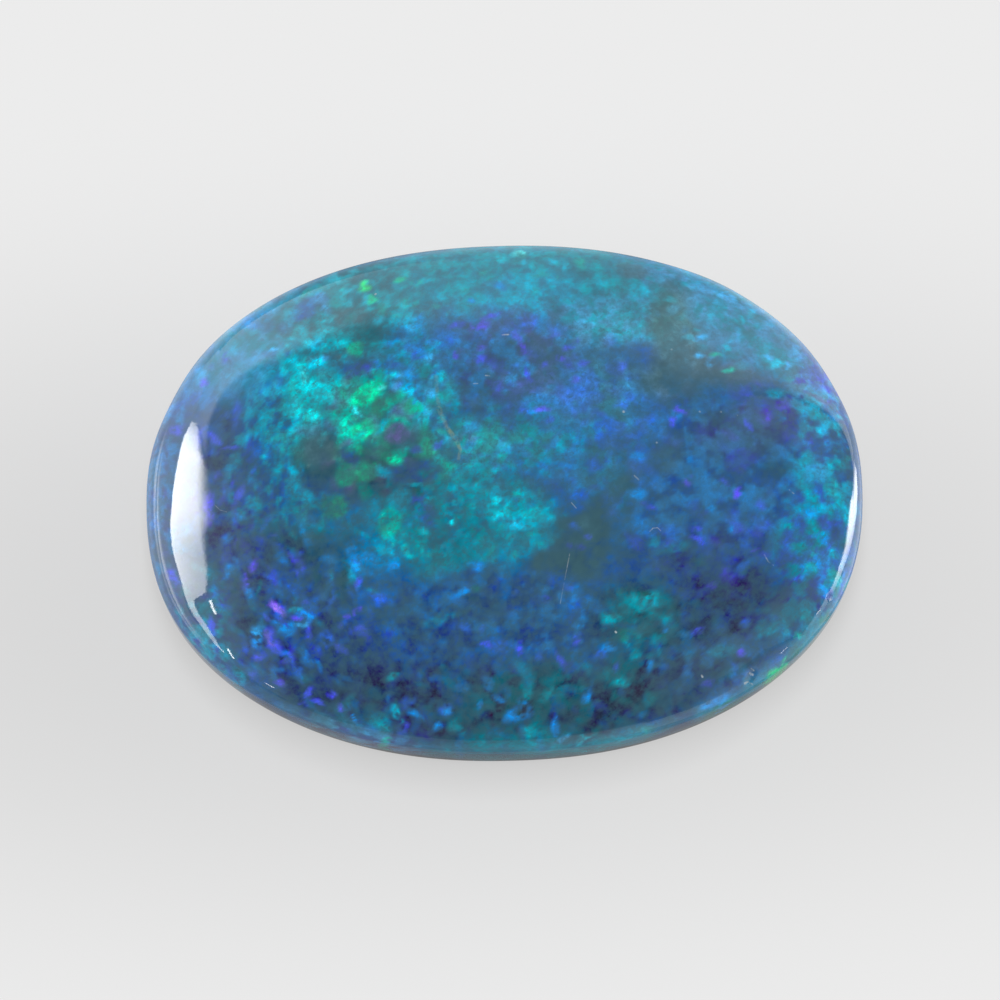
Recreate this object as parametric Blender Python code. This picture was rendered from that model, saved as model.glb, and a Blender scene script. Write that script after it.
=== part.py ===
"""Black opal cabochon: an oval polished stone, cut from one piece of opal.

Metres, +Z up. The stone lies on its flat back, with the origin at the middle of
its box on that back, its long axis along X and its dome facing up.
"""

import math

import bmesh
import bpy

MM = 0.001

# Plan of the stone at its girdle, the widest line round it
LENGTH = 14.0 * MM
WIDTH = 10.13 * MM
OUTLINE_POWER = 2.19
APEX_POWER = 2.0

# Heights, from the flat back up
BACK_BEVEL_HEIGHT = 0.80 * MM
WALL_HEIGHT = 1.15 * MM
DOME_HEIGHT = 1.60 * MM

# The flat land on the back, as a share of the girdle's plan
LAND_SHARE = 0.76
# How far the wall leans in where the back bevel starts, as a share of the plan
WALL_LEAN = 0.012

# Places where the hand-cut girdle leaves the even outline:
# direction in degrees from +X, half-width in degrees, depth as a share of the plan (fuller where negative)
HAND_CUT_PLACES = (
    (24.0, 8.0, 0.0045),
    (54.0, 7.5, -0.0034),
    (97.0, 25.0, 0.0039),
    (156.0, 9.0, 0.0068),
    (207.0, 17.5, -0.0117),
    (334.0, 15.0, -0.0060),
)

# Facets of the solid
SEGMENTS_AROUND = 112
DOME_RINGS = 18
WALL_RINGS = 4
BEVEL_RINGS = 6

OPAL_BODY_COLOUR = (0.012, 0.070, 0.190, 1.0)
OPAL_ROUGHNESS = 0.06


def clear_scene():
    for old in list(bpy.data.objects):
        bpy.data.objects.remove(old, do_unlink=True)


def cabochon_profile():
    """Half of the stone's section as (share of the plan, height), from the back's middle to the apex."""
    points = [(0.0, 0.0)]
    for step in range(BEVEL_RINGS + 1):
        turn = 0.5 * math.pi * step / BEVEL_RINGS
        share = LAND_SHARE + (1.0 - WALL_LEAN - LAND_SHARE) * math.sin(turn)
        points.append((share, BACK_BEVEL_HEIGHT * (1.0 - math.cos(turn))))
    for step in range(1, WALL_RINGS + 1):
        rise = step / WALL_RINGS
        share = 1.0 - WALL_LEAN * (1.0 - rise) ** 2
        points.append((share, BACK_BEVEL_HEIGHT + WALL_HEIGHT * rise))
    girdle = BACK_BEVEL_HEIGHT + WALL_HEIGHT
    for step in range(1, DOME_RINGS + 1):
        turn = 0.5 * math.pi * step / DOME_RINGS
        share = 0.0 if step == DOME_RINGS else math.cos(turn)
        points.append((share, girdle + DOME_HEIGHT * math.sin(turn)))
    return points


def hand_cut(angle):
    """The share of the even outline that is left in this direction."""
    left = 1.0
    for middle, half_width, depth in HAND_CUT_PLACES:
        away = (math.degrees(angle) - middle + 180.0) % 360.0 - 180.0
        left -= depth * math.exp(-((away / half_width) ** 2))
    return left


def plan_point(share, angle):
    """The point of the plan at this share of the outline: rounder near the apex, fuller at the girdle."""
    power = APEX_POWER + (OUTLINE_POWER - APEX_POWER) * share * share
    cosine, sine = math.cos(angle), math.sin(angle)
    fullness = (abs(cosine) ** power + abs(sine) ** power) ** (-1.0 / power)
    reach = share * fullness * hand_cut(angle)
    return 0.5 * LENGTH * reach * cosine, 0.5 * WIDTH * reach * sine


def turned_profile(profile):
    """The profile turned round Z on a plan one unit in radius."""
    shape = bmesh.new()
    points = [shape.verts.new((share, 0.0, height)) for share, height in profile]
    edges = [shape.edges.new(pair) for pair in zip(points, points[1:])]
    bmesh.ops.spin(
        shape,
        geom=points + edges,
        cent=(0.0, 0.0, 0.0),
        axis=(0.0, 0.0, 1.0),
        angle=2.0 * math.pi,
        steps=SEGMENTS_AROUND,
        use_merge=True,
    )
    bmesh.ops.remove_doubles(shape, verts=shape.verts, dist=0.001 * MM)
    return shape


def box_middle(shape):
    middle = []
    for axis in range(2):
        places = [point.co[axis] for point in shape.verts]
        middle.append(0.5 * (min(places) + max(places)))
    return middle


def build_cabochon():
    shape = turned_profile(cabochon_profile())
    for point in shape.verts:
        share = math.hypot(point.co.x, point.co.y)
        if share > 0.0:
            angle = math.atan2(point.co.y, point.co.x)
            point.co.x, point.co.y = plan_point(share, angle)
    middle_x, middle_y = box_middle(shape)
    bmesh.ops.translate(shape, verts=shape.verts, vec=(-middle_x, -middle_y, 0.0))
    bmesh.ops.recalc_face_normals(shape, faces=shape.faces)

    mesh = bpy.data.meshes.new("cabochon")
    shape.to_mesh(mesh)
    shape.free()
    mesh.shade_smooth()
    stone = bpy.data.objects.new("cabochon", mesh)
    bpy.context.scene.collection.objects.link(stone)
    return stone


def polished_opal():
    material = bpy.data.materials.new("polished_opal")
    material.use_nodes = True
    shader = material.node_tree.nodes["Principled BSDF"]
    shader.inputs["Base Color"].default_value = OPAL_BODY_COLOUR
    shader.inputs["Roughness"].default_value = OPAL_ROUGHNESS
    shader.inputs["Metallic"].default_value = 0.0
    return material


clear_scene()
cabochon = build_cabochon()
cabochon.data.materials.append(polished_opal())
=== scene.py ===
import itertools
import math

import bmesh
import bpy
import numpy as np
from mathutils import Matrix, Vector


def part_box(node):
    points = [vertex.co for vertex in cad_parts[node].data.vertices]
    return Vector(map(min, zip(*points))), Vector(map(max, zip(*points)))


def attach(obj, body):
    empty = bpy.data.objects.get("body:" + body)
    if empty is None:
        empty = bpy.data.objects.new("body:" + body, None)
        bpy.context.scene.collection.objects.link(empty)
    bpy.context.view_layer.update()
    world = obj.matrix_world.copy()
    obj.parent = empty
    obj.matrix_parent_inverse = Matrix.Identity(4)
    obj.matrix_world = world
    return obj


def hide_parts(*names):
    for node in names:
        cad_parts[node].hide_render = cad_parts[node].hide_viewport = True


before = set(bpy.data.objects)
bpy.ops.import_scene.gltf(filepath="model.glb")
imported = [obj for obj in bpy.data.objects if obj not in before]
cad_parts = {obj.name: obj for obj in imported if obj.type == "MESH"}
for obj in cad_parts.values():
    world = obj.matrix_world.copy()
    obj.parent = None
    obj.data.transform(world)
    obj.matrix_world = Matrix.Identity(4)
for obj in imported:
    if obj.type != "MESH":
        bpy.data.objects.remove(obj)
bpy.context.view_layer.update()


# The stone. One piece of black opal, sawn, ground to an oval and polished on a felt lap: a low
# dome, a narrow upright girdle wall, and a back bevel that runs down to a flat oval land.
MM = 0.001
box_low, box_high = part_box("cabochon")
stone_length = box_high.x - box_low.x
stone_width = box_high.y - box_low.y
stone_height = box_high.z
bevel_height = 0.80 * MM
dome_height = 1.60 * MM
girdle_height = stone_height - dome_height
land_share = 0.76
wall_lean = 0.012
outline_power = 2.19
apex_power = 2.0
# Direction in degrees from +X, half-width in degrees, depth as a share of the plan
hand_cut_places = (
    (24.0, 8.0, 0.0045),
    (54.0, 7.5, -0.0034),
    (97.0, 25.0, 0.0039),
    (156.0, 9.0, 0.0068),
    (207.0, 17.5, -0.0117),
    (334.0, 15.0, -0.0060),
)
crown_cells = 236
crown_share = 0.93
shoulder_rings = 18
wall_rings = 12
bevel_rings = 8
land_shares = (0.60, 0.30, 0.0)
weld_gap = 0.00001 * MM
# Small chips low on the front right shoulder: x, y, z, radius and depth (mm)
chips = (
    (4.72, -3.71, 2.35, 0.12, 0.05),
    (4.67, -3.84, 2.26, 0.11, 0.05),
    (6.28, -2.20, 2.28, 0.09, 0.03),
)


def dome_rise(share):
    return girdle_height + dome_height * math.sqrt(max(1.0 - share * share, 0.0))


def side_profile():
    """Share of the plan and height, from the edge of the crown down to the middle of the land."""
    start = math.acos(crown_share)
    points = []
    for step in range(1, shoulder_rings + 1):
        share = math.cos(start * (1.0 - step / shoulder_rings))
        points.append((share, dome_rise(share)))
    for step in range(1, wall_rings + 1):
        fall = step / wall_rings
        points.append((1.0 - wall_lean * fall**2, girdle_height + (bevel_height - girdle_height) * fall))
    for step in range(1, bevel_rings + 1):
        turn = 0.5 * math.pi * (1.0 - step / bevel_rings)
        share = land_share + (1.0 - wall_lean - land_share) * math.sin(turn)
        points.append((share, bevel_height * (1.0 - math.cos(turn))))
    return points + [(share, 0.0) for share in land_shares]


def plan_place(share, angle):
    left = 1.0
    for middle, half_width, depth in hand_cut_places:
        away = (math.degrees(angle) - middle + 180.0) % 360.0 - 180.0
        left -= depth * math.exp(-((away / half_width) ** 2))
    power = apex_power + (outline_power - apex_power) * share * share
    cosine, sine = math.cos(angle), math.sin(angle)
    reach = share * left * (abs(cosine) ** power + abs(sine) ** power) ** (-1.0 / power)
    return reach * cosine, reach * sine


# The crown is a grid drawn out to a disc, and the sides are extruded from its edge
stone_shape = bmesh.new()
bmesh.ops.create_grid(stone_shape, x_segments=crown_cells, y_segments=crown_cells, size=1.0)
for point in stone_shape.verts:
    across, along = point.co.x, point.co.y
    point.co.x = crown_share * across * math.sqrt(1.0 - 0.5 * along * along)
    point.co.y = crown_share * along * math.sqrt(1.0 - 0.5 * across * across)
    point.co.z = dome_rise(math.hypot(point.co.x, point.co.y))
for share, height in side_profile():
    rim = [edge for edge in stone_shape.edges if edge.is_boundary]
    bmesh.ops.extrude_edge_only(stone_shape, edges=rim)
    rim_points = {point for edge in stone_shape.edges if edge.is_boundary for point in edge.verts}
    for point in rim_points:
        angle = math.atan2(point.co.y, point.co.x)
        point.co = (share * math.cos(angle), share * math.sin(angle), height)
bmesh.ops.remove_doubles(stone_shape, verts=stone_shape.verts, dist=weld_gap)
for point in stone_shape.verts:
    share = math.hypot(point.co.x, point.co.y)
    if share > 0.0:
        point.co.x, point.co.y = plan_place(share, math.atan2(point.co.y, point.co.x))
low_x, high_x = min(p.co.x for p in stone_shape.verts), max(p.co.x for p in stone_shape.verts)
low_y, high_y = min(p.co.y for p in stone_shape.verts), max(p.co.y for p in stone_shape.verts)
for point in stone_shape.verts:
    point.co.x = box_low.x + stone_length * (point.co.x - low_x) / (high_x - low_x)
    point.co.y = box_low.y + stone_width * (point.co.y - low_y) / (high_y - low_y)
for x, y, z, radius, depth in chips:
    chip_middle = Vector((x, y, z)) * MM
    inward = -Vector((x, y, z)).normalized()
    for point in stone_shape.verts:
        away = (point.co - chip_middle).length / (radius * MM)
        if away < 1.0:
            point.co += inward * depth * MM * (1.0 - away)
bmesh.ops.recalc_face_normals(stone_shape, faces=stone_shape.faces)
stone_mesh = bpy.data.meshes.new("opal_stone")
stone_shape.to_mesh(stone_mesh)
stone_shape.free()
stone_mesh.shade_smooth()
stone = bpy.data.objects.new("opal_stone", stone_mesh)
bpy.context.scene.collection.objects.link(stone)


# The play of colour. Silica spheres in layers split the light into patches of blue, turquoise and
# green on a dark body. Each patch is listed in millimetres on the plan of the stone.
opal_colours = {
    "potch": (58, 92, 104),
    "slate": (70, 104, 116),
    "ink": (46, 66, 94),
    "dark_teal": (44, 83, 98),
    "navy": (54, 84, 122),
    "dusk": (60, 86, 126),
    "deep_blue": (48, 86, 130),
    "plum": (88, 92, 138),
    "indigo": (62, 82, 162),
    "royal": (54, 100, 184),
    "violet_blue": (72, 94, 216),
    "violet": (90, 86, 230),
    "magenta": (116, 106, 222),
    "steel": (52, 112, 162),
    "haze": (66, 134, 176),
    "azure": (34, 138, 220),
    "sky": (62, 168, 230),
    "cyan": (12, 168, 200),
    "bright_cyan": (22, 188, 204),
    "turquoise": (22, 146, 164),
    "teal": (42, 126, 150),
    "deep_teal": (38, 106, 122),
    "emerald": (12, 172, 156),
    "green": (12, 184, 146),
    "bright_green": (40, 214, 122),
    "moss": (50, 119, 110),
    "glint": (78, 212, 220),
    "backing": (50, 56, 62),
}
whitest_value = 255.0
display_power = 2.2
noise_lattice = 64


def linear(name):
    return np.array([(value / whitest_value) ** display_power for value in opal_colours[name]])


def soft_noise(places, per_mm, seed):
    """Smooth random values between -1 and 1, three for every place."""
    chance = np.random.default_rng(seed)
    lattice = chance.uniform(-1.0, 1.0, (noise_lattice, noise_lattice, noise_lattice, 3))
    turned = per_mm * places @ np.linalg.qr(chance.normal(size=(3, 3)))[0]
    cell = np.floor(turned).astype(int)
    within = turned - cell
    fade = within * within * (3.0 - 2.0 * within)
    total = np.zeros_like(places)
    for corner in itertools.product((0, 1), repeat=3):
        weight = np.prod(np.where(corner, fade, 1.0 - fade), axis=1)
        node = (cell + corner) % noise_lattice
        total += weight[:, None] * lattice[node[:, 0], node[:, 1], node[:, 2]]
    return total


def layered_noise(places, per_mm, layers, seed, fading):
    total = np.zeros_like(places)
    for layer in range(layers):
        total += fading**layer * soft_noise(places, per_mm * 2.0**layer, seed + layer)
    return total


def step_smoothly(value):
    value = np.clip(value, 0.0, 1.0)
    return value * value * (3.0 - 2.0 * value)


def oval_mask(places, x, y, half_length, half_width, turn, softness):
    angle = math.radians(turn)
    across, along = places[:, 0] - x, places[:, 1] - y
    u = (across * math.cos(angle) + along * math.sin(angle)) / half_length
    v = (along * math.cos(angle) - across * math.sin(angle)) / half_width
    return step_smoothly((1.0 + softness - np.hypot(u, v)) / (2.0 * softness))


# x, y, half-length, half-width (mm), turn (degrees), softness, ground, fire, share of fire, coarseness
colour_fields = (
    (-6.5, 0.3, 0.6, 3.2, 0, 0.5, "dusk", "steel", 0.30, 0.7),
    (-5.5, 0.2, 0.5, 2.2, -4, 0.5, "ink", "deep_blue", 0.50, 0.6),
    (-4.6, 1.1, 0.7, 1.9, -6, 0.4, "deep_blue", "teal", 0.50, 0.4),
    (-4.9, 3.1, 1.3, 0.9, 38, 0.5, "teal", "haze", 0.45, 0.7),
    (-2.6, 3.8, 1.7, 0.9, 14, 0.4, "deep_teal", "turquoise", 0.45, 0.6),
    (0.5, 4.3, 2.7, 0.9, 0, 0.3, "teal", "turquoise", 0.45, 0.4),
    (4.5, 3.5, 2.0, 1.0, -26, 0.4, "haze", "teal", 0.45, 0.4),
    (1.9, 3.2, 1.1, 0.5, 0, 0.5, "haze", "teal", 0.50, 0.3),
    (3.5, 3.0, 0.6, 0.9, 10, 0.4, "slate", "potch", 0.50, 0.4),
    (3.9, 2.0, 1.4, 0.45, -6, 0.4, "slate", "potch", 0.50, 0.4),
    (5.4, 1.5, 1.2, 0.5, -4, 0.5, "indigo", "navy", 0.50, 0.5),
    (6.3, 2.0, 0.6, 0.9, 20, 0.5, "indigo", "haze", 0.40, 0.5),
    (4.2, -0.2, 2.2, 1.9, 0, 0.5, "deep_blue", "steel", 0.50, 0.6),
    (6.2, 0.3, 0.6, 1.5, 0, 0.4, "deep_blue", "cyan", 0.45, 0.6),
    (6.1, -1.2, 0.6, 1.3, 0, 0.4, "royal", "turquoise", 0.45, 0.6),
    (1.8, 0.9, 1.2, 1.5, 0, 0.5, "steel", "royal", 0.45, 0.6),
    (0.0, 2.5, 1.3, 1.0, 10, 0.4, "dusk", "steel", 0.45, 0.7),
    (0.3, 0.8, 1.2, 0.7, 0, 0.5, "steel", "teal", 0.50, 0.2),
    (-1.7, 2.3, 0.7, 1.0, 10, 0.4, "teal", "steel", 0.50, 0.4),
    (-3.6, 1.9, 0.6, 1.1, 12, 0.3, "teal", "cyan", 0.60, 0.4),
    (-2.6, 1.5, 0.7, 0.8, 20, 0.4, "deep_teal", "emerald", 0.50, 0.6),
    (-3.6, 0.7, 0.6, 0.6, 0, 0.4, "dark_teal", "potch", 0.50, 0.6),
    (-2.2, 0.5, 1.1, 0.7, 0, 0.4, "dark_teal", "moss", 0.40, 0.7),
    (-4.1, -0.7, 0.8, 0.7, 0, 0.5, "deep_blue", "teal", 0.45, 0.4),
    (-0.9, -0.7, 1.9, 1.0, -4, 0.3, "teal", "turquoise", 0.35, 0.2),
    (-4.4, -2.4, 1.5, 1.8, -30, 0.4, "deep_blue", "ink", 0.50, 0.7),
    (-6.0, -2.4, 0.5, 1.3, 25, 0.5, "dusk", "teal", 0.45, 0.5),
    (-0.2, -2.6, 2.2, 0.9, 0, 0.4, "deep_blue", "steel", 0.40, 0.6),
    (-1.8, -3.9, 2.0, 0.7, -10, 0.5, "ink", "deep_blue", 0.38, 0.7),
    (1.0, -4.2, 2.2, 0.7, 4, 0.5, "ink", "deep_teal", 0.45, 0.6),
    (3.9, -2.9, 1.6, 1.2, 20, 0.4, "ink", "deep_blue", 0.60, 0.6),
    (2.6, -2.8, 0.8, 0.7, 0, 0.5, "dark_teal", "deep_teal", 0.50, 0.5),
    (5.5, -2.6, 0.7, 0.6, 30, 0.5, "deep_blue", "teal", 0.55, 0.5),
    (0.5, -5.05, 2.6, 0.34, 0, 0.5, "teal", "turquoise", 0.45, 0.6),
    (-3.0, -4.75, 1.6, 0.30, -24, 0.5, "dusk", "haze", 0.45, 0.6),
    (3.9, -4.60, 1.9, 0.34, 26, 0.5, "teal", "moss", 0.45, 0.6),
    (6.2, -2.9, 0.9, 0.34, 62, 0.5, "teal", "moss", 0.45, 0.6),
)

# x, y, half-length, half-width (mm), turn of the zone, number of flakes, flake half-length, half-width,
# turn and spread of the turn, colours, strength
flake_showers = (
    (-5.4, 0.0, 0.7, 2.2, 0, 70, 0.15, 0.05, 80, 15, "royal violet_blue ink", 0.32),
    (-4.5, 0.9, 0.6, 1.7, 0, 80, 0.16, 0.04, 88, 12, "cyan turquoise deep_blue royal", 0.28),
    (-4.8, 3.2, 1.4, 0.8, 38, 60, 0.12, 0.08, 40, 60, "sky teal indigo turquoise", 0.28),
    (-3.7, 2.1, 0.6, 1.2, 12, 90, 0.11, 0.06, 80, 30, "bright_cyan cyan teal bright_cyan", 0.39),
    (-2.6, 1.5, 0.8, 0.9, 20, 90, 0.13, 0.08, 60, 40, "green emerald moss plum dark_teal", 0.42),
    (-2.2, 0.5, 1.4, 0.8, 0, 90, 0.14, 0.09, 0, 90, "moss navy emerald teal plum", 0.42),
    (-1.6, 2.3, 0.7, 1.0, 0, 90, 0.07, 0.05, 60, 60, "azure sky cyan royal deep_blue", 0.42),
    (-0.8, 4.1, 3.4, 0.7, 4, 170, 0.09, 0.05, 0, 90, "cyan turquoise emerald teal deep_teal", 0.32),
    (4.6, 3.3, 1.9, 0.9, -26, 90, 0.10, 0.06, 20, 60, "sky cyan haze teal", 0.28),
    (-0.8, -0.6, 2.0, 1.0, -4, 260, 0.06, 0.04, 0, 90, "bright_cyan turquoise emerald deep_blue", 0.32),
    (0.3, 0.8, 1.4, 0.8, 0, 150, 0.07, 0.05, 0, 90, "turquoise teal steel moss", 0.24),
    (4.2, -0.1, 2.3, 1.9, 0, 160, 0.13, 0.08, 20, 90, "royal violet_blue navy steel", 0.28),
    (6.2, -0.4, 0.6, 2.2, 0, 80, 0.10, 0.06, 75, 30, "cyan azure turquoise navy", 0.42),
    (0.8, 2.2, 1.7, 1.2, 0, 90, 0.12, 0.08, 20, 90, "violet_blue navy slate royal", 0.21),
    (-4.2, -2.4, 1.7, 1.7, -30, 130, 0.13, 0.05, -50, 40, "royal azure violet_blue ink teal", 0.39),
    (-0.2, -2.6, 2.5, 1.0, 0, 130, 0.12, 0.08, 0, 90, "royal steel azure navy", 0.24),
    (-0.2, -4.2, 3.4, 0.7, 0, 150, 0.12, 0.07, 0, 90, "azure royal teal ink turquoise", 0.35),
    (3.9, -2.8, 1.6, 1.3, 20, 90, 0.12, 0.07, 30, 60, "navy teal ink royal", 0.32),
    (2.6, -2.8, 0.8, 0.7, 0, 60, 0.09, 0.06, 0, 90, "turquoise moss deep_teal turquoise", 0.35),
)

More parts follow.
